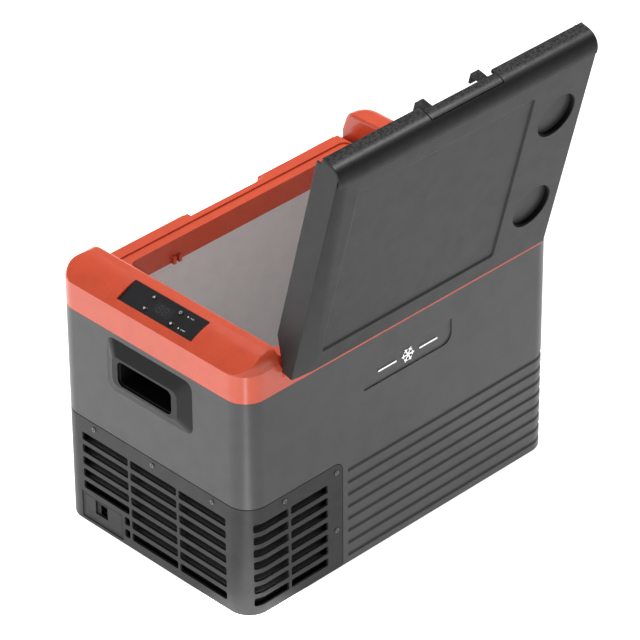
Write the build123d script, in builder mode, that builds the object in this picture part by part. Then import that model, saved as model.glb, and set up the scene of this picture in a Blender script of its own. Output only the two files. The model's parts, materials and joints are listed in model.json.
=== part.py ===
"""A compressor cooler fridge: a foamed tub with a hinged lid and a compressor bay behind a grille.

Frame: X runs along the length, with the control panel end at -X. The hinge side is -Y and the
latch side is +Y. Z is up, and the origin is the centre of the footprint on the floor.
The lid stands open on its stop, as the object is stored.
"""

from build123d import *
from math import cos, radians, sin, atan2, degrees, hypot
import os

os.makedirs("parts", exist_ok=True)

# ---- Driving dimensions, in millimetres ----
body_length = 600.0
body_width = 375.4
body_height = 421.0
corner_radius = 35.0

floor_gap = 2.5  # the casing stands this far off the floor, on its feet
shell_wall = 5.0
frame_band = 65.0  # the coloured frame's height, crest to lower edge
crease_drop = 22.0  # where the frame's upright band turns into its humps, below the crest

hump_left = 68.5  # width of the hump that carries the control panel
hump_right = 44.5
hump_wall = 3.5
hump_lean = 20.0  # degrees the humps lean in above the band
hump_crown = 18.0  # radius round the top of the humps
hump_edge = 6.0  # radius along the humps' inner edges
slope_run = 54.0  # how far the panel slope reaches in from the end
slope_bulge = 4.0

lid_gap = 1.0
lid_open_angle = 104.17
lid_wall = 3.0
lid_side_drop = 44.0
lid_skirt_drop = 36.0
lid_rear_drop = 23.0
lid_nose_radius = 22.0
lid_rear_radius = 13.0
hinge_inset = 6.7  # hinge axis, in from the hinge side
hinge_drop = 29.5  # hinge axis, below the closed lid's top

rail_drop = 31.0  # rail top below the crest
rail_step = 8.2  # ledge that the lid's skirt drops outside
rail_width = 41.7
seat_width = 16.0
seat_drop = 2.5
rim_width = 11.0
trough_clearance = 1.5

liner_wall = 2.0
liner_floor = 48.0
shelf_length = 230.0  # panel end to the deep well's near wall
shelf_rise = 37.0  # shelf above the cooling bay's roof
frame_wall = 3.0
frame_lip = 4.0  # the frame reaches this far down inside the shell

bay_length = 195.0
bay_top = 190.0

cover_wall = 4.0
cover_length = 181.5
cover_top = 182.0
cover_corner_radius = 15.0
seam_gap = 0.8
slot_height = 13.0
slot_pitch = 20.8
slot_rows = 7
slot_lowest = 24.4
slot_bar = 4.6
slot_margin = 43.2  # from each corner of the end to the outer slots
slot_corner_radius = 3.0

groove_count = 8
groove_top = 167.1
groove_pitch = 20.65
groove_height = 9.7
groove_depth = 2.5
groove_slope = 3.2
groove_gap = 10.2  # from the cover's edge to the grooves

handle_drop = 51.3  # handle centre below the shell's top
handle_base = (169.0, 86.6, 14.0)
handle_ring = (129.0, 47.0, 10.0)
handle_proud = 10.0
handle_hole = (107.0, 39.5, 9.0)
handle_pocket_depth = 36.0

panel_length = 146.0
panel_depth = 37.5
panel_plate = 2.0
panel_tilt = 25.3
panel_inset = 29.4  # control panel's centre, in from the end
panel_drop = 8.7  # and below the crest
panel_gap = 0.6

foot_radius = 16.0
pan_thickness = 4.0

# ---- Values that follow from them ----
half_length = body_length / 2
half_width = body_width / 2
shell_top = body_height - frame_band
crease_height = body_height - crease_drop
frame_inner_bottom = shell_top - frame_lip
liner_step_x = -half_length + shelf_length
liner_step_z = bay_top + shelf_rise
bay_end_x = -half_length + bay_length
cover_edge_x = -half_length + cover_length
groove_start_x = cover_edge_x + groove_gap
slot_span = body_width - 2 * slot_margin
handle_z = shell_top - handle_drop
panel_x = -half_length + panel_inset
panel_z = body_height - panel_drop
pocket_x0 = -half_length + hump_left
pocket_x1 = half_length - hump_right
lid_x0 = pocket_x0 + lid_gap
lid_x1 = pocket_x1 - lid_gap
lid_length = lid_x1 - lid_x0
lid_mid_x = (lid_x0 + lid_x1) / 2
rail_top = body_height - rail_drop
seat_top = rail_top - seat_drop
trough_floor = body_height - lid_side_drop - trough_clearance
open_half_y = half_width - rail_width
rim_x0 = pocket_x0 + lid_gap + lid_wall + 15.5
rim_x1 = pocket_x1 - lid_gap - lid_wall - 15.5
open_x0 = rim_x0 + rim_width
open_x1 = rim_x1 - rim_width
open_mid_x = (open_x0 + open_x1) / 2
open_length = open_x1 - open_x0
hinge_y = -half_width + hinge_inset
hinge_z = body_height - hinge_drop

# The lid is modelled on a plane that turns with it: X, then from the hinge to the front, then up.
lid_plane = Plane(
    origin=(0, hinge_y, hinge_z),
    x_dir=(1, 0, 0),
    z_dir=(0, -sin(radians(lid_open_angle)), cos(radians(lid_open_angle))),
)
lid_up = Axis(lid_plane.origin, lid_plane.z_dir)
lid_top_z = hinge_drop
lid_front = body_width - hinge_inset
lid_rear = -hinge_inset


def lid_section(x):
    """The plane across the lid at x: its local X runs to the lid's front and its local Y up."""
    return Plane(origin=(x, hinge_y, hinge_z), x_dir=lid_plane.y_dir, z_dir=(1, 0, 0))


def end_plane(side, depth=0.0):
    """A plane on an end of the body, facing out. side is -1 for the panel end and 1 for the other."""
    return Plane(
        origin=(side * (half_length - depth), 0, 0), x_dir=(0, side, 0), z_dir=(side, 0, 0)
    )


def outline(inset=0.0):
    """The casing's plan outline, set in by a wall or a gap."""
    return RectangleRounded(
        body_length - 2 * inset, body_width - 2 * inset, corner_radius - inset
    )


def outline_cut(inset):
    """Removes the casing's plan outline, set in, from the sketch."""
    return RectangleRounded(
        body_length - 2 * inset,
        body_width - 2 * inset,
        corner_radius - inset,
        mode=Mode.SUBTRACT,
    )


# ---- Cooling cover outline, shared by the shell's cut and the cover itself ----
cover_screw_radius = 1.5
cover_screw_span = half_width - 68.7
cover_screw_end = [
    (-cover_screw_span, cover_top - 11),
    (0.0, cover_top - 11),
    (cover_screw_span, cover_top - 11),
]
cover_screw_side = [
    (-half_length + 70, cover_top - 10.5),
    (cover_edge_x - 12.5, cover_top - 14),
    (cover_edge_x - 12.5, cover_top - 112),
]
screw_clearance = 0.1
screw_head_radius = 3.6
screw_length = 12.0
flange_width = 15.0
flange_wall = 3.0
flange_gap = 0.3


def cover_side(gap):
    """The cover's side view, from below the floor line to its rounded top corner."""
    width = cover_edge_x - gap + half_length + 20
    height = cover_top - gap + 20
    with Locations((cover_edge_x - gap - width / 2, cover_top - gap - height / 2)):
        area = Rectangle(width, height)
    corner = area.vertices().group_by(Axis.X)[-1].sort_by(Axis.Y)[-1]
    fillet(corner, cover_corner_radius - gap)


with BuildPart() as groove_cutter:
    with BuildSketch(Plane.XY):
        with Locations((half_length + groove_start_x / 2 - half_length / 2, 0)):
            Rectangle(half_length - groove_start_x, body_width + 4 * groove_depth)
    extrude(amount=-groove_height)
    with BuildSketch(Plane.XY.offset(groove_slope - groove_height)):
        outline(groove_depth)
    extrude(amount=groove_height - groove_slope, mode=Mode.SUBTRACT)
    with BuildSketch(Plane.XY.offset(groove_slope - groove_height)):
        outline(groove_depth)
    extrude(
        amount=-groove_slope,
        taper=-degrees(atan2(groove_depth, groove_slope)),
        mode=Mode.SUBTRACT,
    )

badge_x = 8.5
badge_z = shell_top - 60
badge_size = (170.7, 37.5)
badge_depth = 2.0
badge_large_radius = 17.0
badge_small_radius = 3.0

# ---- Outer shell ----
with BuildPart() as outer_shell:
    with BuildSketch(Plane.XY.offset(floor_gap)):
        outline()
        outline_cut(shell_wall)
    extrude(amount=shell_top - floor_gap)
    with BuildSketch(Plane.XZ):
        cover_side(0.0)
    extrude(amount=half_width + 1, both=True, mode=Mode.SUBTRACT)
    # The flange behind the cover's edge takes the cover's screws.
    with BuildSketch(Plane.XY.offset(cover_top - flange_width)):
        outline(shell_wall)
        outline_cut(shell_wall + flange_wall)
        with Locations((cover_edge_x + flange_width + half_length, 0)):
            Rectangle(body_length, body_width, mode=Mode.SUBTRACT)
    extrude(amount=flange_width + flange_wall)
    with BuildSketch(Plane.XY.offset(floor_gap + pan_thickness + 1)):
        with Locations((cover_edge_x, 0)):
            Rectangle(2 * flange_width, body_width - 2 * shell_wall)
            Rectangle(
                2 * flange_width, body_width - 2 * shell_wall - 2 * flange_wall, mode=Mode.SUBTRACT
            )
    extrude(amount=cover_top - flange_width - floor_gap - pan_thickness - 1)
    with Locations(*[(0, 0, groove_top - n * groove_pitch) for n in range(groove_count)]):
        add(groove_cutter.part, mode=Mode.SUBTRACT)
    for side in (-1, 1):
        with BuildSketch(end_plane(side)):
            with Locations((0, handle_z)):
                RectangleRounded(*handle_hole)
        extrude(amount=-shell_wall, mode=Mode.SUBTRACT)
    with BuildSketch(Plane.XZ.offset(half_width)):
        with Locations((badge_x, badge_z)):
            badge_area = Rectangle(*badge_size)
        by_height = badge_area.vertices().group_by(Axis.Y)
        fillet(
            [by_height[-1].sort_by(Axis.X)[0], by_height[0].sort_by(Axis.X)[-1]],
            badge_large_radius,
        )
        fillet(
            [by_height[-1].sort_by(Axis.X)[-1], by_height[0].sort_by(Axis.X)[0]],
            badge_small_radius,
        )
    extrude(amount=-badge_depth, mode=Mode.SUBTRACT)
    with BuildSketch(end_plane(-1)):
        with Locations(*[(-y, z) for y, z in cover_screw_end]):
            Circle(cover_screw_radius + screw_clearance)
    extrude(amount=-20, mode=Mode.SUBTRACT)
    with BuildSketch(Plane.XZ):
        with Locations(*cover_screw_side):
            Circle(cover_screw_radius + screw_clearance)
    extrude(amount=half_width + 1, both=True, mode=Mode.SUBTRACT)
outer_shell.part.label = "outer_shell"
export_step(outer_shell.part, "parts/outer_shell.step")

# ---- Grille cover: wraps the panel end and carries all the vents ----
slot_length = (slot_span - 2 * slot_bar) / 3
slot_levels = [slot_lowest + n * slot_pitch for n in range(slot_rows)]
short_rows = 2  # the lowest rows stop short of the power inlet
short_slot = 10.5
side_slot_x = (-half_length + 14, -half_length + 80, -half_length + 155)
inlet_size = (84.0, 44.0)
inlet_centre = (half_width - 79.7, 30.0)
inlet_recess = 1.6
inlet_plate_wall = 2.0
inlet_clearance = 0.15
socket_y = inlet_centre[0] + 3.8
socket_z = inlet_centre[1] + 5
socket_frame = (25.0, 23.0)
socket_depth = 14.0
socket_wall = 1.6

with BuildPart() as grille_cover:
    with BuildSketch(Plane.XY.offset(floor_gap)):
        outline()
        outline_cut(cover_wall)
    extrude(amount=cover_top - floor_gap)
    with BuildSketch(Plane.XZ):
        cover_side(seam_gap)
    extrude(amount=half_width + 1, both=True, mode=Mode.INTERSECT)
    with BuildSketch(end_plane(-1)):
        for row, level in enumerate(slot_levels):
            for column in (-1, 0, 1):
                short = row < short_rows and column == -1
                width = short_slot if short else slot_length
                edge = column * (slot_length + slot_bar) + slot_length / 2
                with Locations((edge - width / 2, level)):
                    RectangleRounded(width, slot_height, slot_corner_radius)
    extrude(amount=-2 * cover_wall, mode=Mode.SUBTRACT)
    with BuildSketch(Plane.XZ):
        for level in slot_levels:
            for low, high in zip(side_slot_x, side_slot_x[1:]):
                width = high - low - slot_bar
                with Locations(((low + high) / 2, level)):
                    RectangleRounded(width, slot_height, slot_corner_radius)
    extrude(amount=half_width + 1, both=True, mode=Mode.SUBTRACT)
    with BuildSketch(end_plane(-1)):
        with Locations((-inlet_centre[0], inlet_centre[1])):
            Rectangle(*inlet_size)
    extrude(amount=-inlet_recess, mode=Mode.SUBTRACT)
    with BuildSketch(end_plane(-1)):
        with Locations((-inlet_centre[0], inlet_centre[1])):
            Rectangle(inlet_size[0] - 8, inlet_size[1] - 8)
    extrude(amount=-2 * cover_wall, mode=Mode.SUBTRACT)
    with BuildSketch(end_plane(-1)):
        with Locations(*[(-y, z) for y, z in cover_screw_end]):
            Circle(cover_screw_radius + screw_clearance)
    extrude(amount=-2 * cover_wall, mode=Mode.SUBTRACT)
    with BuildSketch(Plane.XZ):
        with Locations(*cover_screw_side):
            Circle(cover_screw_radius + screw_clearance)
    extrude(amount=half_width + 1, both=True, mode=Mode.SUBTRACT)
grille_cover.part.label = "grille_cover"
export_step(grille_cover.part, "parts/grille_cover.step")

with BuildPart() as cover_screws:
    screw_places = [
        Plane(origin=(-half_length, y, z), x_dir=(0, -1, 0), z_dir=(-1, 0, 0))
        for y, z in cover_screw_end
    ]
    for side in (-1, 1):
        screw_places += [
            Plane(origin=(x, side * half_width, z), x_dir=(1, 0, 0), z_dir=(0, side, 0))
            for x, z in cover_screw_side
        ]
    for place in screw_places:
        with BuildSketch(place):
            Circle(screw_head_radius)
        extrude(amount=1.2)
        with BuildSketch(place):
            Circle(cover_screw_radius)
        extrude(amount=-screw_length)
        with BuildSketch(place.offset(1.2)):
            Rectangle(4.4, 0.9)
            Rectangle(0.9, 4.4)
        extrude(amount=-0.9, mode=Mode.SUBTRACT)
cover_screws.part.label = "cover_screws"
export_step(cover_screws.part, "parts/cover_screws.step")

with BuildPart() as inlet_plate:
    with BuildSketch(end_plane(-1, inlet_recess)):
        with Locations((-inlet_centre[0], inlet_centre[1])):
            Rectangle(inlet_size[0] - 8 - 2 * inlet_clearance, inlet_size[1] - 8 - 2 * inlet_clearance)
        with Locations((-socket_y, socket_z)):
            Rectangle(*socket_frame, mode=Mode.SUBTRACT)
    extrude(amount=-inlet_plate_wall)
inlet_plate.part.label = "inlet_plate"
export_step(inlet_plate.part, "parts/inlet_plate.step")

with BuildPart() as dc_socket:
    with BuildSketch(end_plane(-1, inlet_recess + inlet_plate_wall)):
        with Locations((-socket_y, socket_z)):
            Rectangle(socket_frame[0] + 6, socket_frame[1] + 2)
    extrude(amount=-socket_depth)
    with BuildSketch(end_plane(-1, inlet_recess + inlet_plate_wall)):
        with Locations((-socket_y + 3.2, socket_z - 1.5)):
            Rectangle(12.5, 16.5)
    extrude(amount=socket_wall - socket_depth, mode=Mode.SUBTRACT)
    pin_plane = end_plane(-1, inlet_recess + inlet_plate_wall + socket_depth - socket_wall)
    with BuildSketch(pin_plane):
        with Locations((-socket_y + 3.2, socket_z + 2.5), (-socket_y + 3.2, socket_z - 5.5)):
            Rectangle(4.5, 1.2)
    extrude(amount=socket_depth - 5)
dc_socket.part.label = "dc_socket"
export_step(dc_socket.part, "parts/dc_socket.step")

# ---- Base pan and feet ----
pan_inset = shell_wall + 0.3
foot_places = (2 * (half_length - 58), 2 * (half_width - 46))
with BuildPart() as base_pan:
    with BuildSketch(Plane.XY.offset(floor_gap + 0.5)):
        outline(pan_inset)
    extrude(amount=pan_thickness)
    with BuildSketch(Plane.XY):
        RectangleRounded(200, 120, 12)
    extrude(amount=floor_gap + 0.5)
base_pan.part.label = "base_pan"
export_step(base_pan.part, "parts/base_pan.step")
pan_top = floor_gap + 0.5 + pan_thickness

with BuildPart() as rubber_feet:
    with BuildSketch(Plane.XY):
        with GridLocations(*foot_places, 2, 2):
            Circle(foot_radius)
    extrude(amount=floor_gap + 0.5)
rubber_feet.part.label = "rubber_feet"
export_step(rubber_feet.part, "parts/rubber_feet.step")

# ---- Handles ----
handle_wall = 2.5
handle_fit = 0.15
for side, node in ((-1, "handle_bezel_left"), (1, "handle_bezel_right")):
    with BuildPart() as handle_bezel:
        with BuildSketch(end_plane(side)):
            with Locations((0, handle_z)):
                RectangleRounded(*handle_base)
        with BuildSketch(end_plane(side, -handle_proud)):
            with Locations((0, handle_z)):
                RectangleRounded(*handle_ring)
        loft()
        with BuildSketch(end_plane(side)):
            with Locations((0, handle_z)):
                RectangleRounded(*handle_hole)
        extrude(amount=handle_proud + 1, mode=Mode.SUBTRACT)
    handle_bezel.part.label = node
    export_step(handle_bezel.part, f"parts/{node}.step")

for side, node in ((-1, "handle_cup_left"), (1, "handle_cup_right")):
    with BuildPart() as handle_cup:
        rim = end_plane(side, 3 - handle_proud)
        with BuildSketch(rim):
            with Locations((0, handle_z)):
                RectangleRounded(
                    handle_hole[0] - 2 * handle_fit,
                    handle_hole[1] - 2 * handle_fit,
                    handle_hole[2] - handle_fit,
                )
        extrude(amount=-(handle_pocket_depth + handle_proud - 3))
        with BuildSketch(rim):
            with Locations((0, handle_z)):
                RectangleRounded(
                    handle_hole[0] - 2 * handle_wall,
                    handle_hole[1] - 2 * handle_wall,
                    handle_hole[2] - handle_wall,
                )
        extrude(
            amount=-(handle_pocket_depth + handle_proud - 3 - handle_wall), mode=Mode.SUBTRACT
        )
    handle_cup.part.label = node
    export_step(handle_cup.part, f"parts/{node}.step")

# ---- Badge: a plain chrome snow crystal between two bars, with no lettering ----
badge_relief = 1.2
with BuildPart() as badge_emblem:
    with BuildSketch(Plane.XZ.offset(half_width - badge_depth)):
        with Locations((badge_x, badge_z)):
            with PolarLocations(0, 3, angular_range=180, rotate=True):
                Rectangle(24, 2.4)
            with PolarLocations(8.5, 6):
                Rectangle(2.2, 7.5)
        with Locations((badge_x - 40, badge_z), (badge_x + 40, badge_z)):
            SlotOverall(36, 3)
    extrude(amount=badge_relief)
badge_emblem.part.label = "badge_emblem"
export_step(badge_emblem.part, "parts/badge_emblem.step")

# ---- Hinge and latch places, shared by the frame and the lid ----
hinge_spots = [lid_mid_x - 150, lid_mid_x + 150]
knuckle_radius = 6.4
knuckle_length = 26.0
ear_length = 10.0
ear_foot = 3.8  # the ears' feet stop here on the outside, clear of the turning lid's edge
ear_gap = 0.4
hinge_pin_radius = 2.5
hinge_clearance = 0.05
hinge_trough_width = 16.7
hinge_trough_floor = hinge_z - 11.5

paddle_width = 134.0
paddle_gap = 1.0
hook_spots = [lid_mid_x - 52, lid_mid_x + 52]
hook_width = 16.0
notch_width = paddle_width + 9.0
notch_depth = 15.7
notch_floor = body_height - 52.0
catch_clearance = 1.4
claw_low = body_height - 50.0
claw_height = 4.0
claw_reach = 12.0
hook_wall = 4.0
latch_y = lid_front - 6.7  # pivot, from the hinge
latch_z = lid_top_z - 15.0
latch_pin_radius = 1.5
latch_clearance = 0.05
latch_ear_radius = 3.4
latch_ear_length = 6.0

lug_x = open_x0 + 86
lug_size = (5.0, 6.0, 12.0)

# ---- Top frame ----
opening_radius = 12.0
cavity_top = notch_floor - frame_wall
skirt_clearance = 1.0
slope_low = (-half_length, crease_height)
slope_high = (-half_length + slope_run, body_height)
slope_chord = hypot(slope_run, body_height - crease_height)
slope_middle = (
    (slope_low[0] + slope_high[0]) / 2 - slope_bulge * (body_height - crease_height) / slope_chord,
    (slope_low[1] + slope_high[1]) / 2 + slope_bulge * slope_run / slope_chord,
)
panel_plane = Plane(
    origin=(panel_x, 0, panel_z),
    x_dir=(0, -1, 0),
    z_dir=(-sin(radians(panel_tilt)), 0, cos(radians(panel_tilt))),
)

with BuildPart() as top_frame:
    with BuildSketch(Plane.XY.offset(shell_top)):
        outline()
    extrude(amount=crease_height - shell_top)
    with BuildSketch(Plane.XY.offset(crease_height)):
        outline()
    extrude(amount=body_height - crease_height, taper=hump_lean)
    fillet(top_frame.faces().sort_by(Axis.Z)[-1].edges(), hump_crown)
    with BuildSketch(Plane.XZ):
        with BuildLine():
            ThreePointArc(slope_low, slope_middle, slope_high)
            Polyline(
                slope_high,
                (slope_high[0], body_height + 10),
                (-half_length - 10, body_height + 10),
                (-half_length - 10, crease_height),
                slope_low,
            )
        make_face()
    extrude(amount=half_width + 1, both=True, mode=Mode.SUBTRACT)
    # Between the humps the frame drops to the rails that the lid closes over.
    with BuildSketch(Plane.XY.offset(rail_top)):
        with Locations(((pocket_x0 + pocket_x1) / 2, 0)):
            Rectangle(pocket_x1 - pocket_x0, body_width + 2)
    extrude(amount=body_height, mode=Mode.SUBTRACT)
    for end in (pocket_x0, pocket_x1):
        inner_edges = top_frame.edges().filter_by_position(Axis.X, end - 0.01, end + 0.01)
        fillet(inner_edges.filter_by_position(Axis.Z, crease_height, body_height + 1), hump_edge)
    with BuildSketch(Plane.XY.offset(trough_floor)):
        for low, high in ((pocket_x0, rim_x0), (rim_x1, pocket_x1)):
            with Locations(((low + high) / 2, 0)):
                Rectangle(high - low, body_width + 2)
    extrude(amount=body_height, mode=Mode.SUBTRACT)
    with BuildSketch(Plane.XY.offset(body_height - lid_skirt_drop - skirt_clearance)):
        with Locations((lid_mid_x, half_width)):
            Rectangle(pocket_x1 - pocket_x0, 2 * rail_step)
    extrude(amount=body_height, mode=Mode.SUBTRACT)
    with BuildSketch(Plane.XY.offset(hinge_trough_floor)):
        with Locations((lid_mid_x, -half_width)):
            Rectangle(pocket_x1 - pocket_x0, 2 * hinge_trough_width)
    extrude(amount=body_height, mode=Mode.SUBTRACT)
    with BuildSketch(Plane.XY.offset(seat_top)):
        with Locations((open_mid_x, 0)):
            RectangleRounded(
                rim_x1 - rim_x0 - 4, 2 * (open_half_y + seat_width), opening_radius
            )
    extrude(amount=body_height, mode=Mode.SUBTRACT)
    with BuildSketch(Plane.XY.offset(frame_inner_bottom)):
        with Locations((open_mid_x, 0)):
            RectangleRounded(
                open_length + 2 * frame_wall,
                2 * (open_half_y + frame_wall),
                opening_radius + frame_wall,
            )
    extrude(amount=shell_top - frame_inner_bottom)
    with BuildSketch(Plane.XY.offset(frame_inner_bottom)):
        with Locations((open_mid_x, 0)):
            RectangleRounded(open_length, 2 * open_half_y, opening_radius)
    extrude(amount=body_height, mode=Mode.SUBTRACT)
    # The frame is a hollow moulding, open underneath.
    with BuildSketch(Plane.XY.offset(shell_top)):
        outline(frame_wall)
        with Locations((open_mid_x, 0)):
            RectangleRounded(
                open_length + 2 * frame_wall,
                2 * (open_half_y + frame_wall),
                opening_radius + frame_wall,
                mode=Mode.SUBTRACT,
            )
    extrude(amount=cavity_top - shell_top, mode=Mode.SUBTRACT)
    with BuildSketch(Plane.XZ):
        with BuildLine():
            Polyline(
                (-half_length + frame_wall, cavity_top),
                (pocket_x0 - frame_wall, cavity_top),
                (pocket_x0 - frame_wall, body_height - hump_wall),
                (-half_length + slope_run + 4, body_height - hump_wall),
                (-half_length + frame_wall, crease_height - hump_wall),
                close=True,
            )
        make_face()
        with BuildLine():
            Polyline(
                (half_length - frame_wall, cavity_top),
                (pocket_x1 + frame_wall, cavity_top),
                (pocket_x1 + frame_wall, body_height - hump_wall),
                (half_length - corner_radius / 2, body_height - hump_wall),
                (half_length - frame_wall, crease_height - hump_wall),
                close=True,
            )
        make_face()
    extrude(amount=half_width - corner_radius, both=True, mode=Mode.SUBTRACT)
    # Seat and window for the control panel.
    with BuildSketch(panel_plane.offset(-panel_plate)):
        Rectangle(panel_length + 2 * panel_gap, panel_depth + 2 * panel_gap)
    extrude(amount=20, mode=Mode.SUBTRACT)
    with BuildSketch(panel_plane):
        Rectangle(panel_length - 12, panel_depth - 5)
    extrude(amount=-14, mode=Mode.SUBTRACT)
    # Latch notch, with a slot for each hook.
    with BuildSketch(Plane.XY.offset(notch_floor)):
        with Locations((lid_mid_x, half_width)):
            Rectangle(notch_width, 2 * notch_depth)
    extrude(amount=body_height, mode=Mode.SUBTRACT)
    with BuildSketch(Plane.XY.offset(claw_low - catch_clearance)):
        for x in hook_spots:
            with Locations((x, half_width - notch_depth)):
                Rectangle(hook_width + 3, 12)
    extrude(amount=claw_height + 2 * catch_clearance, mode=Mode.SUBTRACT)
    # Hinge ears stand in the trough on the hinge side.
    for spot in hinge_spots:
        for start in (
            spot - knuckle_length / 2 - ear_gap - ear_length,
            spot + knuckle_length / 2 + ear_gap,
        ):
            with BuildSketch(Plane.YZ.offset(start)):
                with Locations((hinge_y, hinge_z)):
                    Circle(knuckle_radius)
                with Locations((hinge_y + knuckle_radius, hinge_trough_floor)):
                    Rectangle(
                        knuckle_radius + ear_foot,
                        hinge_z - hinge_trough_floor,
                        align=(Align.MAX, Align.MIN),
                    )
                with Locations((hinge_y, hinge_z)):
                    Circle(hinge_pin_radius + hinge_clearance, mode=Mode.SUBTRACT)
            extrude(amount=ear_length)
    # Two small divider lugs on the latch-side wall of the opening.
    for x in (lug_x - lug_size[0], lug_x + lug_size[0]):
        with BuildSketch(Plane.XY.offset(frame_inner_bottom)):
            with Locations((x, open_half_y - lug_size[1] / 2 + 0.5)):
                Rectangle(lug_size[0], lug_size[1] + 1)
        extrude(amount=lug_size[2])
top_frame.part.label = "top_frame"
export_step(top_frame.part, "parts/top_frame.step")

with BuildPart() as hinge_pins:
    for spot in hinge_spots:
        reach = knuckle_length / 2 + ear_gap + ear_length
        with BuildSketch(Plane.YZ.offset(spot - reach)):
            with Locations((hinge_y, hinge_z)):
                Circle(hinge_pin_radius)
        extrude(amount=2 * reach)
hinge_pins.part.label = "hinge_pins"
export_step(hinge_pins.part, "parts/hinge_pins.step")

# ---- Inner liner: a deep well beside a shallow shelf over the compressor ----
def liner_side(grow):
    """The tub's side view, grown outwards by a wall."""
    Polygon(
        (open_x0 - grow, frame_inner_bottom + 1),
        (open_x0 - grow, liner_step_z - grow),
        (liner_step_x - grow, liner_step_z - grow),
        (liner_step_x - grow, liner_floor - grow),
        (open_x1 + grow, liner_floor - grow),
        (open_x1 + grow, frame_inner_bottom + 1),
        align=None,
    )


def liner_plan(grow):
    """The tub's plan outline, grown outwards by a wall."""
    with Locations((open_mid_x, 0)):
        RectangleRounded(
            open_length + 2 * grow, 2 * (open_half_y + grow), opening_radius + grow
        )


with BuildPart() as liner_outside:
    with BuildSketch(Plane.XZ):
        liner_side(liner_wall)
    extrude(amount=half_width, both=True)
    with BuildSketch(Plane.XY):
        liner_plan(liner_wall)
    extrude(amount=frame_inner_bottom, mode=Mode.INTERSECT)

with BuildPart() as liner_inside:
    with BuildSketch(Plane.XZ):
        liner_side(0)
    extrude(amount=half_width, both=True)
    with BuildSketch(Plane.XY):
        liner_plan(0)
    extrude(amount=frame_inner_bottom + 1, mode=Mode.INTERSECT)

with BuildPart() as inner_liner:
    add(liner_outside.part)
    with BuildSketch(Plane.XY.offset(frame_inner_bottom - liner_wall)):
        liner_plan(2 * frame_wall)
    extrude(amount=liner_wall)
    add(liner_inside.part, mode=Mode.SUBTRACT)
inner_liner.part.label = "inner_liner"
export_step(inner_liner.part, "parts/inner_liner.step")

# ---- Evaporator: flat tube wound round the well, buried in the foam ----
coil_turns = 5
coil_pitch = 34.0
coil_low = 72.0
coil_tube = 7.0
coil_length = open_x1 - liner_step_x + 2 * liner_wall
coil_mid_x = (open_x1 + liner_step_x) / 2
with BuildPart() as evaporator_coil:
    for turn in range(coil_turns):
        with BuildSketch(Plane.XY.offset(coil_low + turn * coil_pitch)):
            with Locations((coil_mid_x, 0)):
                RectangleRounded(
                    coil_length + 2 * coil_tube,
                    2 * (open_half_y + liner_wall + coil_tube),
                    coil_tube,
                )
                Rectangle(coil_length, 2 * (open_half_y + liner_wall), mode=Mode.SUBTRACT)
                Rectangle(1, 2 * body_width, align=(Align.MIN, Align.MAX), mode=Mode.SUBTRACT)
        extrude(amount=coil_tube)
    with BuildSketch(Plane.XY.offset(coil_low)):
        with Locations((coil_mid_x + 5, -open_half_y - liner_wall - coil_tube / 2)):
            Rectangle(coil_tube, coil_tube)
    extrude(amount=(coil_turns - 1) * coil_pitch + coil_tube)
evaporator_coil.part.label = "evaporator_coil"
export_step(evaporator_coil.part, "parts/evaporator_coil.step")

# ---- Body foam ----
with BuildPart() as body_foam:
    with BuildSketch(Plane.XY.offset(pan_top)):
        outline(shell_wall + flange_wall)
    extrude(amount=frame_inner_bottom - liner_wall - pan_top)
    with BuildSketch(Plane.XZ):
        with Locations(((bay_end_x - half_length) / 2, bay_top / 2)):
            Rectangle(bay_end_x + half_length, bay_top)
    extrude(amount=half_width + 1, both=True, mode=Mode.SUBTRACT)
    add(liner_outside.part, mode=Mode.SUBTRACT)
    add(evaporator_coil.part, mode=Mode.SUBTRACT)
    for side in (-1, 1):
        with BuildSketch(end_plane(side)):
            with Locations((0, handle_z)):
                Rectangle(handle_hole[0] + 2, handle_hole[1] + 2)
        extrude(amount=-handle_pocket_depth - 1, mode=Mode.SUBTRACT)
body_foam.part.label = "body_foam"
export_step(body_foam.part, "parts/body_foam.step")

light_size = (44.0, 14.0, 4.0)
light_z = frame_inner_bottom - 20
with BuildPart() as interior_light:
    with BuildSketch(Plane.XZ.offset(open_half_y - light_size[2])):
        with Locations((lid_mid_x, light_z)):
            RectangleRounded(light_size[0], light_size[1], 3)
    extrude(amount=light_size[2])
interior_light.part.label = "interior_light"
export_step(interior_light.part, "parts/interior_light.step")

# ---- Lid ----
trim_start = lid_front - 26.0  # where the front trim begins, from the hinge
trim_proud = 1.3
trim_inset = 1.2
bevel_run = 36.5
bevel_drop = 3.5
field_x = (lid_x0 + 44.5, lid_x1 - 109.5)
field_y = (23.0, lid_front - 53.7)
field_depth = 2.6
field_slope = 3.2
field_radius = 6.0
cup_radius = 35.0
cup_depth = 8.0
cup_offset = 84.0
cup_middle = (lid_front - 26.7) / 2
cup_spots = [(lid_x1 - 52, cup_middle + cup_offset), (lid_x1 - 52, cup_middle - cup_offset)]
lid_side_bottom = lid_top_z - lid_side_drop
lid_skirt_bottom = lid_top_z - lid_skirt_drop
lid_rear_bottom = lid_top_z - lid_rear_drop
rear_slope_end = 46.0  # from the hinge to where the end walls reach full depth
skirt_depth = 9.0
paddle_top = lid_top_z - 11.0
paddle_bottom = lid_top_z - 29.0
liner_flange_z = rail_top + 2.0 - hinge_z
liner_flange = 2.0
plug_clearance = 4.0
plug_depth = 13.0


def lid_area(grow, bottom):
    """The lid's section with its round nose and rear, down to a level, grown by a wall."""
    height = lid_top_z + grow - bottom
    with Locations(((lid_front + lid_rear) / 2, bottom + height / 2)):
        area = Rectangle(lid_front - lid_rear + 2 * grow, height)
    corners = area.vertices().group_by(Axis.Y)[-1].sort_by(Axis.X)
    fillet(corners[-1], lid_nose_radius + grow)
    fillet(corners[0], lid_rear_radius + grow)


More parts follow.
